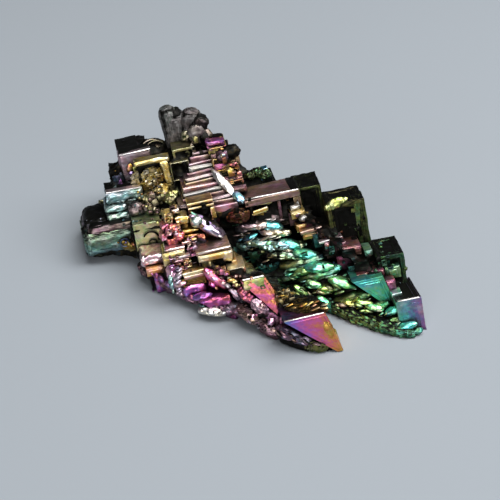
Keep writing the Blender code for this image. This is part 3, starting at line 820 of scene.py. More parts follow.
for i in range(9):
    centre = in_row((9.5, -14.5, -2.4), (0.28, -0.12, -0.16), i)
    centre[2] += chance.uniform(-0.5, 0.3)
    green = tone(0.66 + chance.uniform(-0.04, 0.05), 0.15, 0.05)
    dip = -38 + chance.uniform(-LEAF_TURN, LEAF_TURN)
    ridges.append(leaf(centre, (0.9, 0.35, 0.2), (0, dip, -16), green))
ridges += stair((0.9, -3.0, 5.0), (0.62, -1.5, -1.28), 6, (2.6, 4.0, 1.4), STILL,
                [tone(0.6, 0.85, top=0.2), tone(0.52, 0.8, top=0.2)])
for i in range(7):
    centre = in_row((0.3, -5.4, 1.5), (0.95, -1.3, -0.85), i)
    ridges += leaves(centre, (1.9, -0.5, 0.2), 7, 0.35, (0.75, 0.3, 0.2), tone(0.6, 0.5, 0.1), (0, -14, -16))
fuse("ripples", ridges)


# The middle arm.
# A banded stair of square frames runs down to the nearest tip, whose front is a smooth triangle of
# rose and orange oxide, with rugged golden metal above it and melted lumps under it.
WAVY = (5, 0.05, 0.8)
middle = [
    hopper((-2.7, -10.8, 6.0), (3.9, 3.0, 0.55), tone(0.84, 0.62, 0.15, top=0.0), ledged(1, 0.12, 0.06)),
    # A thin strip of bare silver along the front edge, a painted highlight line.
    hopper((-2.7, -10.95, 5.95), (3.7, 0.6, 0.16), tone(0.02, 0.1, 0.8), {}, 0.05),
    hopper((-3.4, -11.1, 5.55), (3.1, 2.4, 0.75), tone(0.115, 0.05, 0.05), ledged(2, 0.14, 0.04), 0.12),
    hopper((-2.5, -11.2, 5.4), (1.1, 2.4, 1.3), tone(0.11, 0.0, 0.15), {}, 0.25, (0, 12, 0), worn=WAVY),
    hopper((-2.3, -11.1, 4.2), (0.6, 2.4, 1.8), tone(0.15, 0.2, 0.05), {}, 0.12),
    # A near-black crystal set back behind the frames; its dullness is painted shade for the recess.
    hopper((-2.7, -10.6, 4.9), (3.8, 3.4, 2.8), tone(0.88, 0.9), cupped(3, 0.3, 0.3)),
    hopper((-3.4, -11.2, 3.7), (0.9, 2.0, 1.0), tone(0.27, 0.1, 0.1), cupped(2, 0.14, 0.12)),
    hopper((-1.6, -12.6, 3.9), (2.0, 3.0, 0.8), tone(0.10, 0.05, 0.35), ledged(2, 0.14, 0.06), 0.12),
    hopper((-2.0, -13.0, 3.2), (1.8, 3.0, 0.9), tone(0.72, 0.25, 0.25), {}, 0.12),
    hopper((-2.0, -13.3, 2.3), (1.4, 3.0, 1.0), tone(0.27, 0.3, 0.05), cupped(2, 0.14, 0.12)),
    wedge((0.2, -15.9, 3.6), (2.7, 3.4, 7.2), 3.0, tone(0.26, 0.45, -0.15, (-0.025, 0, -0.014)), 0.15,
          ledged(2, 0.16, 0.04), (-18, 0, 0), WAVY),
    hopper((0.1, -15.9, 3.8), (2.5, 1.4, 1.2), tone(0.74, 0.6, 0.1, (-0.04, 0, 0)), {}, 0.2, (-18, 0, 0),
           WAVY),
    # A thin strip of bare silver along the face's top edge, a painted highlight line.
    hopper((0.05, -15.95, 3.9), (2.4, 0.3, 0.14), tone(0.03, 0.1, 0.7), {}, 0.05, (-4, 0, 0)),
    lump((3.7, -18.6, 0.4), (2.5, 1.5, 1.1), tone(0.14, 0.75, 0.0), (0, 6, -30), 0.35, 0.5, 5),
    lump((1.9, -16.4, 0.6), (1.7, 1.2, 1.2), tone(0.14, 0.75, 0.0), (0, 34, -30), 0.3, 0.5),
    hopper((4.9, -19.6, 0.9), (1.9, 3.0, 1.6), tone(0.15, 0.85, 0.0), {}, 0.3, worn=(5, 0.15, 0.6)),
    wedge((5.5, -21.1, 0.45), (4.6, 4.2, 5.0), 1.3, tone(0.262, 0.1, -0.1, (-0.036, 0, 0.0), top=0.8), 0.6,
          ledged(1, 0.3, 0.05), (0, 0, 2), (5, 0.05, 0.9)),
    lump((5.5, -20.6, -1.6), (0.6, 0.7, 1.9), tone(0.18, 0.35, -0.1), (0, -14, 0), 0.12, 0.6, finer=0.06),
    # A thin strip of bare silver along the tip's top edge, a painted highlight line.
    hopper((5.35, -21.15, 0.55), (4.4, 0.25, 0.12), tone(0.02, 0.1, 0.8), {}, 0.04, (0, 0, 2)),
    lump((-1.9, -16.0, -0.6), (2.1, 1.0, 0.8), tone(0.88, 0.55, 0.1), (0, 30, -30), 0.25, 0.5, 5),
    lump((-0.3, -17.4, -2.0), (1.9, 1.0, 0.8), tone(0.9, 0.65, 0.05), (0, 28, -32), 0.22, 0.5, finer=0.08),
    lump((2.3, -19.6, -2.3), (2.6, 1.2, 0.85), tone(0.95, 0.55, 0.15), (0, 22, -26), 0.32, 0.5, finer=0.1),
    lump((3.8, -21.0, -3.4), (1.6, 1.2, 0.9), tone(0.72, 0.75, 0.1), (0, 20, -20), 0.2, 0.4, 4),
    lump((-2.9, -14.7, -0.4), (2.0, 0.9, 0.8), tone(0.93, 0.6, 0.1), (0, 26, -30), 0.2, 0.7, finer=0.06),
]
# Pink lumps with bare silver below the tip's face, painted glints.
for centre, size in (((-2.1, -16.7, -0.6), 0.62), ((-0.2, -17.8, -1.0), 0.55), ((0.7, -18.6, -1.7), 0.5)):
    middle.append(lump(centre, (size * 0.8, size * 0.6, size), tone(0.31, 0.0, 0.5), (0, 25, 0), 0.1, 0.4))
middle += [
    lump((-2.0, -15.6, 1.7), (1.3, 0.7, 0.7), tone(0.27, 0.4, 0.05), (0, 45, -30), 0.3, 0.45, finer=0.1),
    lump((-1.1, -16.6, 0.6), (1.2, 0.6, 0.7), tone(0.92, 0.45, 0.2), (0, 45, -30), 0.3, 0.45, finer=0.1),
]
for row in (
    ((-4.3, -12.7, 4.0), (0.5, -0.2, -0.3), 6, 0.25, (0.45, 0.3, 0.3), tone(0.28, 0.0, 0.1), (0, 10, -16)),
    ((-3.1, -13.7, 2.8), (0.7, -0.2, -0.4), 6, 0.2, (0.4, 0.3, 0.25), tone(0.17, 0.1, 0.1), (0, 20, -16)),
    ((-1.6, -16.9, -1.2), (2.2, -1.2, -1.3), 8, 0.35, (0.5, 0.3, 0.3), tone(0.86, 0.45, 0.1), (0, 35, -30)),
    ((1.9, -20.4, -2.1), (2.4, -1.2, -1.0), 9, 0.2, (0.6, 0.3, 0.2), tone(0.88, 0.6, 0.1), (0, 30, -30)),
    ((3.6, -19.6, 1.0), (2.2, -1.0, -0.1), 12, 0.35, (0.7, 0.3, 0.2), tone(0.13, 0.4, 0.0), (0, -14, -16)),
    ((1.3, -16.6, 1.8), (0.9, -1.4, -0.8), 8, 0.2, (0.45, 0.3, 0.2), tone(0.13, 0.5, -0.1), (0, 10, -30)),
):
    middle += leaves(*row)
fuse("middle_arm", middle)


# The left arm.
# Gold and rose hoppers lead down to a smaller pointed tip of violet oxide, with a pale wave of
# melted metal beside them and a dark melted skirt below.
left = [
    hopper((-7.8, -9.9, 6.3), (2.5, 3.0, 0.75), tone(0.115, 0.1, 0.05), ledged(2, 0.12, 0.05), 0.1),
    hopper((-9.1, -9.9, 5.6), (1.3, 3.0, 1.0), tone(0.12, 0.15, 0.1), {}, 0.14),
    hopper((-7.7, -9.7, 6.55), (2.3, 2.0, 0.3), tone(0.29, 0.0, 0.6), {}, 0.06),
    # A near-black crystal set back behind the gold hoppers; its dullness is painted shade for the recess.
    hopper((-7.8, -9.3, 5.4), (2.6, 3.0, 2.2), tone(0.88, 0.9), cupped(2, 0.2, 0.2)),
    hopper((-7.3, -10.2, 5.7), (1.8, 2.4, 0.35), tone(0.29, 0.0, 0.7), {}, 0.08),
    hopper((-7.5, -10.3, 5.3), (1.6, 2.4, 0.35), tone(0.25, 0.1, 0.4), {}, 0.08),
    hopper((-7.3, -10.5, 5.0), (0.9, 2.0, 0.75), tone(0.11, 0.0, 0.0), cupped(2, 0.1, 0.12), 0.1),
    hopper((-8.5, -10.4, 4.9), (1.1, 2.0, 1.4), tone(0.2, 0.55), cupped(2, 0.14, 0.12)),
    hopper((-6.1, -11.6, 4.2), (2.5, 3.0, 0.45), tone(0.12, 0.0, 0.15), {}, 0.1),
    hopper((-6.1, -11.7, 3.8), (2.4, 3.0, 0.4), tone(0.22, 0.1, 0.3), {}, 0.1),
    hopper((-6.15, -11.6, 3.45), (2.6, 3.0, 1.0), tone(0.17, 0.6), cupped(3, 0.16, 0.14)),
    hopper((-6.2, -11.9, 2.6), (2.7, 3.6, 1.3), tone(0.345, 0.1, -0.1, (0, 0, -0.03)), {}, 0.35,
           worn=(5, 0.16, 1.0)),
    hopper((-10.2, -7.8, 5.4), (2.7, 3.4, 1.3), tone(0.295, 0.0, 0.45), {}, 0.35, worn=(7, 0.2, 0.55)),
    hopper((-10.4, -8.4, 4.2), (2.1, 3.0, 1.0), tone(0.21, 0.2, 0.1), ledged(2, 0.14, 0.07), 0.14),
    hopper((-10.2, -8.8, 3.2), (1.6, 3.0, 2.2), tone(0.36, 0.35, 0.0), {}, 0.3, worn=(5, 0.1, 0.7)),
    wedge((-3.9, -14.2, 1.5), (3.6, 4.5, 3.2), 0.4, tone(0.335, 0.45, -0.1, (-0.016, 0, -0.01)), 0.35,
          worn=(8, 0.2, 0.7)),
    lump((-9.4, -10.3, 3.1), (0.8, 1.0, 2.0), tone(0.33, 0.0, 0.5, (0.06, 0, 0)), (0, -10, 10), 0.2, 0.5,
         finer=0.05),
    lump((-8.7, -10.8, 1.6), (1.2, 0.7, 0.6), tone(0.90, 0.3, 0.4), (0, 0, -14), 0.2, 0.5),
    lump((-4.9, -12.3, 2.9), (1.9, 0.75, 0.7), tone(0.285, 0.1, 0.1), (0, 46, -20), 0.14, 0.5),
    lump((-2.9, -13.9, 0.9), (1.5, 0.5, 0.45), tone(0.96, 0.3, 0.35), (0, 48, -20), 0.2, 0.45),
    lump((-6.1, -14.0, 0.0), (1.7, 0.8, 0.6), tone(0.03, 0.15, 0.5), (0, 14, -12), 0.14, 0.7, finer=0.05),
    lump((-12.2, -6.2, 3.0), (1.5, 0.9, 0.9), tone(0.90, 0.82, 0.05), (0, 42, -36), 0.34, 0.5, finer=0.1),
    lump((-10.4, -8.8, 2.2), (1.7, 0.9, 0.8), tone(0.92, 0.78, 0.05), (0, 36, -40), 0.34, 0.5, finer=0.1),
    lump((-8.2, -11.2, 1.2), (1.8, 0.9, 0.7), tone(0.93, 0.6, 0.15), (0, 24, -40), 0.34, 0.5, finer=0.1),
    lump((-4.6, -14.0, -0.1), (1.6, 0.8, 0.7), tone(0.93, 0.65, 0.1), (0, 10, -10), 0.34, 0.5, finer=0.1),
    lump((-6.9, -12.9, 1.5), (1.2, 0.6, 0.5), tone(0.36, 0.25, 0.0), (0, -8, -20), 0.14, 0.5),
    lump((-7.0, -13.5, 0.7), (0.7, 0.4, 0.25), tone(0.52, 0.6, 0.5), (0, 10, -20), 0.12, 0.5),
]
for row in (
    ((-10.8, -9.2, 2.7), (1.2, -1.2, -0.9), 9, 0.25, (0.5, 0.35, 0.3), tone(0.31, 0.3, 0.2), (0, 36, -40)),
    ((-8.2, -11.8, 1.5), (1.4, -1.2, -0.7), 9, 0.25, (0.5, 0.35, 0.3), tone(0.32, 0.25, 0.2), (0, 24, -40)),
    ((-9.1, -11.2, 3.1), (0.2, -0.2, 1.6), 8, 0.2, (0.6, 0.4, 0.3), tone(0.33, 0.0, 0.6), (0, -20, 10)),
    ((-10.0, -10.9, 2.9), (-0.1, -0.1, 1.2), 5, 0.1, (0.6, 0.35, 0.3), tone(0.54, 0.0, 0.5), (0, -75, 10)),
    ((-4.7, -12.8, 2.9), (1.2, -0.5, -1.4), 7, 0.15, (0.5, 0.35, 0.3), tone(0.30, 0.0, 0.55), (0, 46, -20)),
    ((-5.6, -12.4, 2.7), (0.4, -0.3, -0.8), 4, 0.15, (0.45, 0.3, 0.3), tone(0.275, 0.0, 0.1), (0, 46, -20)),
    ((-6.1, -14.5, 0.2), (1.4, -0.3, -0.4), 4, 0.12, (0.5, 0.35, 0.25), tone(0.04, 0.0, 0.7), (0, 14, -12)),
):
    left += leaves(*row)
fuse("left_arm", left)


# The pyramid in the middle.
# Broad thin terraces, pink and white by turns, fall from the peak towards the front, with a
# steeper stair of copper colour, a gold hopper and a handful of small red cubes on their left.
STRIPES = ((0.88, 0.15, 0.35), (0.85, 0.4, 0.15), (0.28, 0.12, 0.4), (0.02, 0.25, 0.4), (0.88, 0.45, 0.1))
pyramid = []
for i in range(13):
    corner = in_row((-2.4, 1.2, 13.2), (0.16, -0.56, -0.37), i)
    corner[0] += chance.uniform(-0.15, 0.15)
    corner[2] += chance.uniform(-0.06, 0.06)
    size = in_row((2.1, 4.0, 1.1), (0.43, 0.0, 0.0), i)
    stripe = tone(*STRIPES[i % len(STRIPES)], top=0.6)
    work = ledged(chance.choice((0, 1, 2)), 0.1, 0.05)
    pyramid.append(hopper(corner, size, stripe, work, 0.1, small_turn(2.2), (6, 0.075, 0.9)))
coppers = (
    tone(0.31, 0.1, 0.1), tone(0.14, 0.1), tone(0.88, 0.7), tone(0.17, 0.3), tone(0.28, 0.55),
    tone(0.16, 0.4), tone(0.88, 0.75), tone(0.19, 0.5), tone(0.88, 0.8),
)
for i, copper in enumerate(coppers):
    corner = in_row((-0.6, -0.3, 14.5), (0.17, -0.42, -0.57), i)
    work = cupped(2, 0.14, 0.12) if i % 2 else ledged(3, 0.1, 0.08)
    size = (2.0 + 0.1 * i, 4.0 if i else 1.2, 0.9 if i else 0.45)
    pyramid.append(hopper(corner, size, copper, work, 0.1, small_turn(4.0), (3, 0.1, 0.4)))
pyramid += leaves((-0.4, -1.9, 12.4), (0.5, -1.2, -1.8), 12, 0.4, (0.45, 0.3, 0.2), tone(0.2, 0.45, 0.1),
                  (0, 10, -16))
pyramid += [
    # A melted ridge down the right edge of the terraces, white above and cyan below; its white is partly bare
    # silver and partly a painted highlight.
    lump((-1.7, -3.2, 10.5), (2.2, 0.6, 0.4), tone(0.03, 0.0, 0.8), (0, 37, -55), 0.1, 0.5, finer=0.04),
    lump((-0.4, -4.9, 8.95), (1.0, 0.6, 0.45), tone(0.475, 0.0, 0.35), (0, 37, -55), 0.08, 0.5, finer=0.03),
    lump((-1.1, -1.3, 13.1), (0.85, 0.8, 0.75), tone(0.92, 0.75, 0.1), rough=0.15),
    # A small pale blue leaf on top of the dark knob, a painted glint.
    leaf((-1.2, -2.0, 13.4), (0.35, 0.2, 0.15), STILL, tone(0.47, 0.1, 0.6)),
    lump((-0.9, -5.7, 7.2), (1.4, 0.9, 0.9), tone(0.24, 0.86, 0.0), rough=0.25, finer=0.08),
    hopper((-3.5, -6.4, 9.9), (2.9, 4.0, 2.7), tone(0.20, 0.8), cupped(3, 0.2, 0.3)),
    hopper((-3.45, -6.6, 10.2), (3.0, 2.2, 0.26), tone(0.12, 0.1, 0.1, top=0.7), {}, 0.08),
    hopper((-3.4, -6.7, 9.7), (3.0, 2.2, 0.26), tone(0.12, 0.1, 0.1, top=0.7), {}, 0.08),
    hopper((-3.4, -6.75, 9.3), (0.55, 2.0, 1.4), tone(0.16, 0.25), {}, 0.1),
    lump((-4.9, -8.0, 7.7), (2.2, 0.7, 0.55), tone(0.37, 0.0, 0.6, (0.02, 0, 0)), (0, 46, -20), 0.07, 0.7,
         finer=0.02),
    lump((-5.8, -8.1, 8.5), (0.75, 0.5, 0.7), tone(0.56, 0.0, 0.7), (0, 20, -20), 0.06, 0.6, finer=0.02),
]
pyramid += leaves((-4.6, -8.4, 7.6), (1.5, -0.4, -1.7), 3, 0.1, (0.7, 0.3, 0.3), tone(0.36, 0.0, 0.8),
                  (0, 46, -20))
cubes = (
    ((-8.3, -6.9, 9.6), (0.9, 2.0, 1.1), 0.105, -0.2), ((-6.6, -7.2, 9.0), (1.5, 2.0, 0.9), 0.115, -0.1),
    ((-7.4, -6.4, 9.8), (0.9, 2.0, 0.6), 0.19, 0.4), ((-8.9, -7.4, 8.6), (0.9, 2.0, 0.7), 0.275, -0.1),
    ((-7.9, -7.8, 8.0), (1.1, 2.0, 1.1), 0.275, -0.2), ((-9.3, -8.0, 7.8), (0.8, 2.0, 0.8), 0.285, 0.1),
    ((-8.1, -8.4, 7.2), (1.3, 2.0, 1.0), 0.265, -0.2), ((-5.7, -7.6, 7.5), (1.9, 2.0, 0.4), 0.15, -0.1),
    ((-5.6, -7.9, 7.0), (2.0, 2.0, 0.4), 0.18, -0.1), ((-6.1, -8.4, 6.7), (1.6, 2.0, 0.5), 0.14, -0.1),
    ((-5.2, -8.2, 6.9), (0.9, 2.0, 0.8), 0.215, -0.2), ((-6.9, -8.8, 6.6), (1.1, 2.0, 0.7), 0.25, 0.3),
    ((-6.6, -9.4, 6.1), (0.9, 2.0, 1.1), 0.285, 0.0),
)
for corner, size, film, pale in cubes:
    cup = cupped(2, 0.12, 0.12) if size[2] > 1.0 else {}
    red = tone(film, 0.0, pale, ring=0.1)
    pyramid.append(hopper(corner, size, red, cup, 0.16, small_turn(8.0), (4, 0.16, 0.45)))
pyramid += [
    lump((-8.6, -7.9, 8.1), (0.8, 0.6, 0.6), tone(0.285, 0.0, 0.0), rough=0.3, grain=0.4),
    lump((-8.1, -8.4, 7.3), (0.7, 0.5, 0.6), tone(0.27, 0.0, -0.2), rough=0.3, grain=0.4),
]
pyramid += leaves((-8.7, -8.6, 7.9), (0.8, -0.2, 0.2), 5, 0.35, (0.3, 0.25, 0.2), tone(0.29, 0.0, 0.6),
                  (0, 20, -10))
fuse("pyramid", pyramid)


# The head at the left.
# The oldest and heaviest crystals: a block whose black top is painted shade, a gold frame that is open to the
# front, silvery bands, a heavy rounded corner and a plate with a curled growth mark.
MELTED = (5, 0.07, 0.9)


def curl(centre, radius, thick, low_half, oxide_and_shade):
    """Half a ring on a front face, one arm of a curled growth mark."""
    bpy.ops.object.select_all(action="DESELECT")
    bpy.ops.mesh.primitive_torus_add(major_radius=radius, minor_radius=thick, major_segments=28,
                                     minor_segments=8, rotation=(radians(90), 0, 0))
    thing = bpy.context.object
    bpy.ops.object.transform_apply(location=True, rotation=True, scale=True)
    bpy.ops.object.mode_set(mode="EDIT")
    bpy.ops.mesh.select_all(action="SELECT")
    bpy.ops.mesh.bisect(plane_co=(0, 0, 0), plane_no=(0.5, 0, 1), use_fill=True, clear_inner=not low_half,
                        clear_outer=low_half)
    bpy.ops.object.mode_set(mode="OBJECT")
    coat_with_painted_light(thing, oxide_and_shade)
    return plant(thing, centre, STILL, oxide_and_shade)


head = [
    hopper((-10.5, 4.0, 13.7), (2.6, 6.6, 6.0), tone(0.92, 0.6, 0.4, top=1.0),
           {"left": sunk(3, 0.4, 0.2), "back": sunk(4, 0.35, 0.3)}, 0.9, worn=MELTED),
    hopper((-9.1, 3.7, 13.9), (4.0, 2.6, 5.6), tone(0.92, 0.64, 0.4, top=1.0), {}, 0.45, worn=MELTED),
    # A thin pink-white strip along the block's top front edge, a painted highlight line.
    hopper((-9.15, 3.6, 14.0), (3.8, 0.9, 0.18), tone(0.9, 0.1, 0.6), {}, 0.07),
    # Two small orange and violet leaves on the block's front, painted glints.
    leaf((-12.0, 3.5, 12.1), (0.4, 0.2, 0.6), (0, 20, 0), tone(0.17, 0.3, 0.1)),
    leaf((-11.9, 3.3, 11.5), (0.4, 0.2, 0.3), (0, 20, 0), tone(0.37, 0.1, 0.2)),
    lump((-8.4, 6.6, 12.9), (1.5, 1.8, 0.9), tone(0.8, 0.6, 0.2), (0, 20, 0), 0.15, 0.6),
    curl((-8.9, 6.0, 12.9), 1.3, 0.10, False, tone(0.78, 0.5, 0.3)),
    curl((-8.5, 5.6, 12.8), 1.3, 0.07, False, tone(0.78, 0.6, 0.3)),
    hopper((-6.7, 4.4, 12.75), (2.4, 2.0, 0.3), tone(0.86, 0.3, 0.5), {}, 0.08),
    hopper((-7.2, 0.9, 13.5), (4.2, 1.6, 0.6), tone(0.105, 0.3, -0.1, top=0.1), {}, 0.22, (0, 2, 0),
           (6, 0.16, 0.5)),
    hopper((-7.5, 0.8, 13.2), (1.0, 1.6, 4.6), tone(0.105, 0.0, -0.1), {}, 0.25, (0, -7, 0), (6, 0.18, 0.5)),
    hopper((-7.2, 3.2, 12.2), (4.4, 3.0, 5.4), tone(0.74, 0.7), cupped(4, 0.3, 0.25), 0.15,
           worn=(3, 0.12, 0.4)),
    lump((-9.9, 1.9, 10.8), (2.3, 0.7, 1.7), tone(0.12, 0.4, 0.0, (0.02, 0, -0.01)), STILL, 0.3, 0.35, 5),
    hopper((-4.1, 1.2, 14.0), (2.6, 4.0, 1.9), tone(0.76, 0.5, 0.2), cupped(3, 0.22, 0.2), 0.35,
           worn=(4, 0.08, 0.6)),
    hopper((-5.1, 0.3, 12.8), (2.2, 4.0, 2.3), tone(0.74, 0.45, 0.25), cupped(3, 0.2, 0.2), 0.4,
           worn=(4, 0.08, 0.6)),
    lump((-10.2, 1.0, 8.9), (1.5, 0.8, 0.9), tone(0.75, 0.5, 0.15), rough=0.3, grain=0.4, finer=0.1),
    lump((-8.6, 0.8, 9.2), (1.3, 0.8, 1.2), tone(0.12, 0.5, 0.0), rough=0.3, grain=0.4, finer=0.1),
    lump((-7.8, -1.7, 9.3), (0.8, 0.7, 1.0), tone(0.76, 0.5, 0.15), rough=0.3, grain=0.4, finer=0.1),
    wedge((-6.9, -1.6, 9.9), (0.9, 3.0, 2.6), 0.8, tone(0.72, 0.2, 0.4), 0.15),
    hopper((-12.8, 3.2, 11.9), (1.7, 3.4, 4.5), tone(0.44, 0.93, 0.3, top=0.4), {}, 0.5, worn=(5, 0.14, 0.6)),
    hopper((-11.1, 0.5, 10.6), (4.3, 4.0, 1.4), tone(0.53, 0.42, 0.5, (0.02, 0, 0), top=0.7),
           ledged(2, 0.2, 0.06), 0.5, worn=(8, 0.2, 0.6)),
    # A thin pale strip along the band's top front edge, a painted highlight line.
    hopper((-11.15, 0.4, 10.75), (4.2, 1.0, 0.2), tone(0.9, 0.0, 0.7), {}, 0.08, (1, 2, 0), (4, 0.05, 0.5)),
    hopper((-13.2, -0.6, 9.3), (2.6, 4.0, 0.8), tone(0.52, 0.45, 0.5), {}, 0.36, worn=(7, 0.18, 0.6)),
    hopper((-13.0, -1.1, 8.5), (2.8, 4.0, 0.9), tone(0.56, 0.4, 0.55), {}, 0.4, worn=(7, 0.18, 0.6)),
    lump((-12.2, -0.9, 8.5), (0.9, 0.8, 1.1), tone(0.88, 0.7, 0.5), rough=0.25, grain=0.5),
    hopper((-15.3, -1.0, 8.3), (3.6, 6.0, 5.0), tone(0.86, 0.8, 0.3, (0, 0, 0.06), top=1.0), {}, 1.1,
           worn=(6, 0.2, 1.1)),
    hopper((-12.7, -2.1, 7.9), (5.6, 5.0, 1.7), tone(0.86, 0.82, 0.3, top=0.8), {}, 0.7, worn=(6, 0.2, 0.9)),
    hopper((-12.9, -2.5, 7.0), (6.0, 5.0, 2.6), tone(0.56, 0.76, 0.45, (0, 0, 0.06), top=0.5), {}, 0.7,
           worn=(7, 0.26, 0.7)),
    lump((-13.4, -1.8, 5.0), (2.2, 1.2, 1.0), tone(0.17, 0.65, 0.0), (0, 24, 0), 0.3, 0.4, 5),
    hopper((-9.8, -4.3, 8.0), (3.2, 4.0, 3.7), tone(0.72, 0.25, 0.35, (0, 0, -0.02)), cupped(1, 0.3, 0.05),
           0.3, worn=(5, 0.05, 0.8)),
    curl((-11.2, -4.5, 6.1), 0.85, 0.10, False, tone(0.8, 1.0)),
    curl((-9.9, -4.5, 6.1), 0.45, 0.10, True, tone(0.8, 1.0)),
    curl((-11.1, -4.5, 5.5), 0.45, 0.08, False, tone(0.8, 1.0)),
    hopper((-10.0, -4.2, 4.4), (3.0, 4.0, 0.9), tone(0.2, 0.7, 0.05), {}, 0.3, worn=(4, 0.12, 0.5)),
    curl((-14.3, -2.85, 5.6), 0.5, 0.14, False, tone(0.45, 0.9)),
    curl((-14.3, -2.85, 5.6), 0.5, 0.12, True, tone(0.45, 0.75, 0.5)),
    # A pale blue leaf in the middle of the crater, a painted glint.
    leaf((-14.3, -2.8, 5.6), (0.3, 0.2, 0.2), STILL, tone(0.44, 0.2, 0.3)),
]
for row in (
    ((-13.2, -2.9, 5.0), (1.8, -0.3, -0.9), 18, 0.3, (0.35, 0.3, 0.25), tone(0.17, 0.4, 0.0), (0, 30, 0)),
    ((-10.4, -1.6, 8.6), (1.2, -1.0, -0.4), 12, 0.8, (0.4, 0.3, 0.35), tone(0.82, 0.5, 0.1), (0, 60, 0)),
):
    head += leaves(*row)
fuse("head", head)


# The two columns on top.
# Dark grey columns with fine upright lines, and the knots of melted metal at their feet.
LINED = (8, 0.16, 0.26, (1.0, 1.0, 0.10))
columns = [
    hopper((-5.1, 4.0, 18.8), (2.1, 2.6, 5.6), tone(0.58, 0.87, 0.9, (0.1, 0, 0), top=0.0), {}, 0.95,
           (0, -3, 3), LINED),
    hopper((-4.0, 3.8, 17.0), (2.9, 2.8, 5.8), tone(0.88, 0.86, 0.9, top=0.0), {}, 0.8, (0, 4, -4), LINED),
    hopper((-2.3, 2.9, 17.9), (2.3, 2.6, 3.8), tone(0.88, 0.90, 0.8, top=0.0), {}, 0.8, (0, 14, -6),
           (5, 0.16, 0.7)),
    hopper((-1.5, 2.6, 16.2), (1.8, 2.6, 2.6), tone(0.9, 0.96, 0.4), {}, 0.5, (0, 30, 5), (5, 0.12, 0.5)),
    lump((-3.5, 1.8, 15.4), (1.0, 0.5, 0.95), tone(0.84, 0.78, 0.7), rough=0.12, finer=0.05),
    lump((-4.6, 3.5, 14.4), (0.8, 0.5, 1.0), tone(0.76, 0.5, 0.45), finer=0.06),
    lump((-3.0, 2.3, 14.7), (1.4, 0.9, 0.9), tone(0.8, 0.75, 0.5)),
]
fuse("columns", columns)


# The far slope.
# Large open hoppers step down to the back and the right, as they do on any such cluster. The one
# behind the crest is dark, as the crest's own crystals are.
far = []
slope = (
    ((4.6, 0.0, 8.0), (4.4, 5.0, 6.0), 0.70, 0.85), ((1.0, 2.6, 11.2), (5.0, 4.6, 7.0), 0.84, 0.2),
    ((-7.0, 6.0, 11.4), (5.4, 5.0, 7.0), 0.30, 0.2), ((-1.0, 6.4, 7.6), (5.6, 4.6, 6.0), 0.16, 0.2),
    ((-7.6, 8.4, 8.0), (6.4, 4.4, 5.0), 0.56, 0.2), ((4.6, 3.4, 5.2), (4.6, 4.4, 5.5), 0.44, 0.2),
    ((-12.6, 5.0, 6.6), (4.2, 4.4, 4.6), 0.74, 0.2), ((-0.6, 9.6, 4.2), (6.0, 3.6, 3.0), 0.34, 0.2),
    ((10.0, -1.4, 3.6), (5.0, 4.2, 5.0), 0.62, 0.2), ((13.2, -5.0, 0.6), (4.0, 4.0, 4.0), 0.50, 0.2),
    ((15.2, -9.4, -1.4), (3.6, 4.2, 3.6), 0.40, 0.2),
)
for corner, size, film, dull in slope:
    work = {side: sunk(5, 0.3, 0.34) for side in ("back", "top", "right")}
    far.append(hopper(corner, size, tone(film, dull, 0.05, ring=0.08), work))
fuse("far_slope", far)


# The small growth.
# Tiny cubes and cups sit all over the ledges, most of them square to the lattice, a few knocked
# askew. They grew from the last drops of metal.
FAR_OFF = 40.0
LOWEST = 0.5 * MM
SUNK_IN = 0.1
ASKEW = 0.15
ASKEW_TURN = 40.0
SQUARE_TURN = 5.0
FRONT_RISE = (0.05, -0.84, 0.54)
BACK_RISE = (0.10, 0.84, 0.54)
LEFT_RISE = (-0.90, -0.05, 0.43)


def shells():
    """The finished pieces, for small crystals to sit on."""
    seen = bpy.context.evaluated_depsgraph_get()
    return [BVHTree.FromObject(thing, seen) for thing in bpy.data.objects if thing.get("grown_with")]


def first_hit(trees, start, heading):
    hits = [tree.ray_cast(start, heading) for tree in trees]
    hits = [hit for hit in hits if hit[0] is not None]
    return min(hits, key=lambda hit: hit[3]) if hits else None


def small_kinds():
    """Eight small crystals, a millimetre across, to be copied: plain, stepped and cupped."""
    kinds = []
    for i in range(8):
        thing = square_crystal([chance.uniform(0.8, 1.2) for axis in range(3)])
        if i % 2:
            step_face(thing, "front", sunk(2, 0.12, 0.16))
        if i % 4 == 2:
            step_face(thing, "top", raised(2, 0.16, 0.12))
        bpy.ops.object.mode_set(mode="OBJECT")
        round_edges(thing, 0.06)
        kinds.append(thing.data)
        bpy.data.objects.remove(thing)
    return kinds


cube_kinds = small_kinds()


def small_crystal(corner, side, turn, oxide_and_shade):
    thing = bpy.data.objects.new("small", chance.choice(cube_kinds).copy())
    bpy.context.collection.objects.link(thing)
    thing.data.transform(Matrix.Diagonal([side * chance.uniform(0.7, 1.4) for axis in range(3)] + [1.0]))
    coat_with_painted_light(thing, oxide_and_shade, (side, side, side))
    return plant(thing, corner, turn, oxide_and_shade)


def sprinkle(trees, centre, spread, count, smallest, largest, oxide_and_shade, rise=FRONT_RISE):
    """Small crystals on whatever lies behind a place on the lattice, seen along one direction."""
    made = []
    rise = Vector(rise)
    for i in range(count):
        at = [c + chance.gauss(0.0, 0.5) * spread for c in centre]
        hit = first_hit(trees, LATTICE @ Vector(at) + rise * FAR_OFF * MM, -rise)
        if hit is None or hit[0].z < LOWEST:
            continue
        side = smallest + (largest - smallest) * chance.random() ** 2
        place = LATTICE.inverted() @ hit[0] - SUNK_IN * side * rise
        corner = (place.x + 0.5 * side, place.y - 0.5 * side, place.z + 0.5 * side)
        film, dull, pale = oxide_and_shade[:3]
        film += chance.uniform(-0.07, 0.07)
        dull += chance.uniform(-0.15, 0.4)
        pale += chance.uniform(-0.1, 0.3)
        turn = small_turn(ASKEW_TURN if chance.random() < ASKEW else SQUARE_TURN)
        made.append(small_crystal(corner, side, turn, tone(film, dull, pale)))
    return made


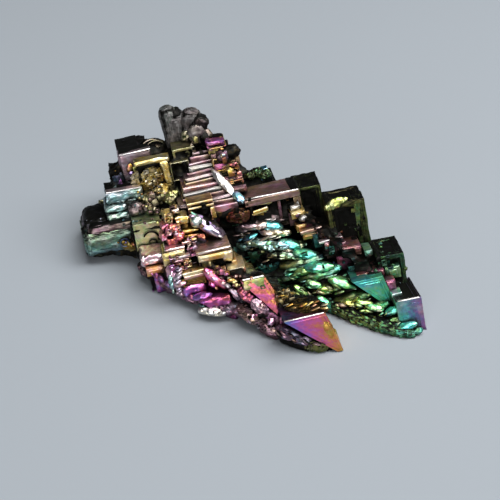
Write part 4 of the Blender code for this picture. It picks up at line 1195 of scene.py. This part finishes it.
trees = shells()
patches = (
    ((1.9, -16.6, 1.4), 0.8, 10, 0.25, 0.6, tone(0.14, 0.5, 0.0)),
    ((-1.8, -16.8, -1.8), 1.4, 14, 0.25, 0.5, tone(0.9, 0.6, 0.1)),
    ((-8.2, -7.6, 8.0), 0.9, 12, 0.25, 0.5, tone(0.28, 0.1, 0.1)),
    ((-6.9, -9.0, 6.6), 0.7, 14, 0.25, 0.5, tone(0.25, 0.1, 0.3)),
    ((-7.6, -10.6, 5.0), 0.9, 12, 0.25, 0.5, tone(0.22, 0.3, 0.1)),
    ((-8.9, -9.2, 4.2), 1.2, 14, 0.25, 0.6, tone(0.3, 0.3, 0.2)),
    ((-4.6, -11.6, 3.6), 1.2, 16, 0.25, 0.6, tone(0.20, 0.55, 0.05)),
    ((-2.6, -12.2, 2.6), 1.4, 14, 0.25, 0.6, tone(0.24, 0.5, 0.05)),
    ((-4.2, -6.4, 8.2), 1.0, 12, 0.25, 0.6, tone(0.20, 0.7, 0.0)),
    ((-0.6, -2.4, 11.8), 1.3, 34, 0.2, 0.55, tone(0.18, 0.4, 0.05)),
    ((-0.6, -5.4, 7.2), 1.2, 14, 0.25, 0.5, tone(0.22, 0.85, 0.0)),
    ((4.5, -6.0, 6.5), 1.6, 14, 0.3, 0.7, tone(0.88, 0.8, 0.0)),
    ((8.6, -9.3, 4.2), 1.2, 14, 0.2, 0.45, tone(0.26, 0.7, 0.1)),
    ((11.0, -9.0, 4.6), 1.8, 12, 0.25, 0.5, tone(0.68, 0.9, 0.0)),
    ((9.0, -10.0, 2.4), 2.0, 26, 0.3, 0.7, tone(0.52, 0.85, 0.0)),
    ((14.0, -12.5, 1.0), 1.8, 20, 0.25, 0.6, tone(0.60, 0.75, 0.05)),
    ((2.0, -8.0, 2.0), 2.4, 24, 0.25, 0.5, tone(0.58, 0.8, 0.0)),
    ((-9.8, -2.0, 8.8), 1.8, 50, 0.25, 0.7, tone(0.82, 0.55, 0.05)),
    ((-12.8, -1.6, 7.9), 1.4, 10, 0.25, 0.5, tone(0.56, 0.6, 0.3)),
    ((-9.8, 1.2, 10.8), 1.7, 60, 0.2, 0.45, tone(0.12, 0.35, 0.0)),
    ((-9.4, 0.6, 9.0), 1.2, 24, 0.2, 0.45, tone(0.76, 0.5, 0.2)),
    ((-3.9, 1.6, 14.0), 1.2, 12, 0.25, 0.5, tone(0.76, 0.6, 0.1)),
    ((-9.0, 8.0, 4.5), 3.0, 24, 0.35, 1.0, tone(0.30, 0.3, 0.1), BACK_RISE),
    ((-3.0, 8.0, 5.0), 3.4, 34, 0.35, 1.1, tone(0.16, 0.3, 0.1), BACK_RISE),
    ((3.0, 5.0, 3.5), 3.0, 28, 0.35, 1.1, tone(0.44, 0.3, 0.1), BACK_RISE),
    ((9.5, 0.0, 0.5), 3.0, 24, 0.35, 1.0, tone(0.62, 0.4, 0.1), BACK_RISE),
    ((-15.5, 3.0, 3.0), 1.6, 16, 0.3, 0.8, tone(0.70, 0.6, 0.3), LEFT_RISE),
)
growth = []
for patch in patches:
    growth += sprinkle(trees, *patch)
fuse("small_growth", growth)


# The melted core. The metal between the crystals is rough and rounded, as it froze. It is the whole
# cluster drawn in a little, with its top beside the columns pressed down, and takes its colours from
# the crystals nearest to it, darkened by painted shade since it lies between them.
CORE_SHRINK = 0.26 * MM
CORE_VOXEL = 0.30 * MM
CORE_GRAIN = 0.9 * MM
CORE_ROUGH = 0.5 * MM
PAINTED_CORE_SHADE = 0.7
CORE_TOP = 14.0
PRESSED = 0.15
COLUMNS_END = -2.1
FOOT = 0.6 * MM


def colour_by_neighbours(thing):
    """Give a piece the oxide of the crystal nearest to each face, darkened by painted shade, less so on faces
    that look back.
    """
    near = KDTree(len(coats))
    for index, (place, oxide_and_shade) in enumerate(coats):
        near.insert(place, index)
    near.balance()
    skin = thing.data.attributes.new("oxide_and_shade", "FLOAT_VECTOR", "CORNER")
    for face in thing.data.polygons:
        film, dull, pale = coats[near.find(face.center)[1]][1]
        # Painted shade: the core is darker, half as much on faces that look back.
        extra = PAINTED_CORE_SHADE if face.normal.y < 0.6 else 0.5 * PAINTED_CORE_SHADE
        for corner in face.loop_indices:
            skin.data[corner].vector = (film, min(1.0, dull + extra), 0.5 * pale)


bpy.ops.object.select_all(action="DESELECT")
core = frame["nodes"]["bismuth_crystal"].copy()
core.data = core.data.copy()
for tag in list(core.keys()):
    del core[tag]
core.parent = None
core.hide_viewport = core.hide_render = False
bpy.context.collection.objects.link(core)
only(core)
bpy.ops.object.mode_set(mode="EDIT")
bpy.ops.mesh.select_all(action="SELECT")
bpy.ops.mesh.remove_doubles(threshold=WELD)
bpy.ops.object.mode_set(mode="OBJECT")
voxels = core.modifiers.new("melt_remesh", "REMESH")
voxels.mode = "VOXEL"
voxels.voxel_size = CORE_VOXEL
bpy.ops.object.modifier_apply(modifier=voxels.name)
clouds = bpy.data.textures.new("core_melt", "CLOUDS")
clouds.noise_scale = CORE_GRAIN
push = core.modifiers.new("core_melt", "DISPLACE")
push.texture = clouds
push.strength = CORE_ROUGH
push.mid_level = 0.5 + CORE_SHRINK / CORE_ROUGH
bpy.ops.object.modifier_apply(modifier=push.name)
off_lattice = LATTICE.inverted()
for point in core.data.vertices:
    place = off_lattice @ point.co
    if place.x > COLUMNS_END and place.z > CORE_TOP:
        place.z = CORE_TOP + PRESSED * (place.z - CORE_TOP)
        point.co = LATTICE @ place
    point.co.z = max(0.0, point.co.z - CORE_SHRINK * (point.co.z < FOOT))
colour_by_neighbours(core)
fuse("melted_core", [core])
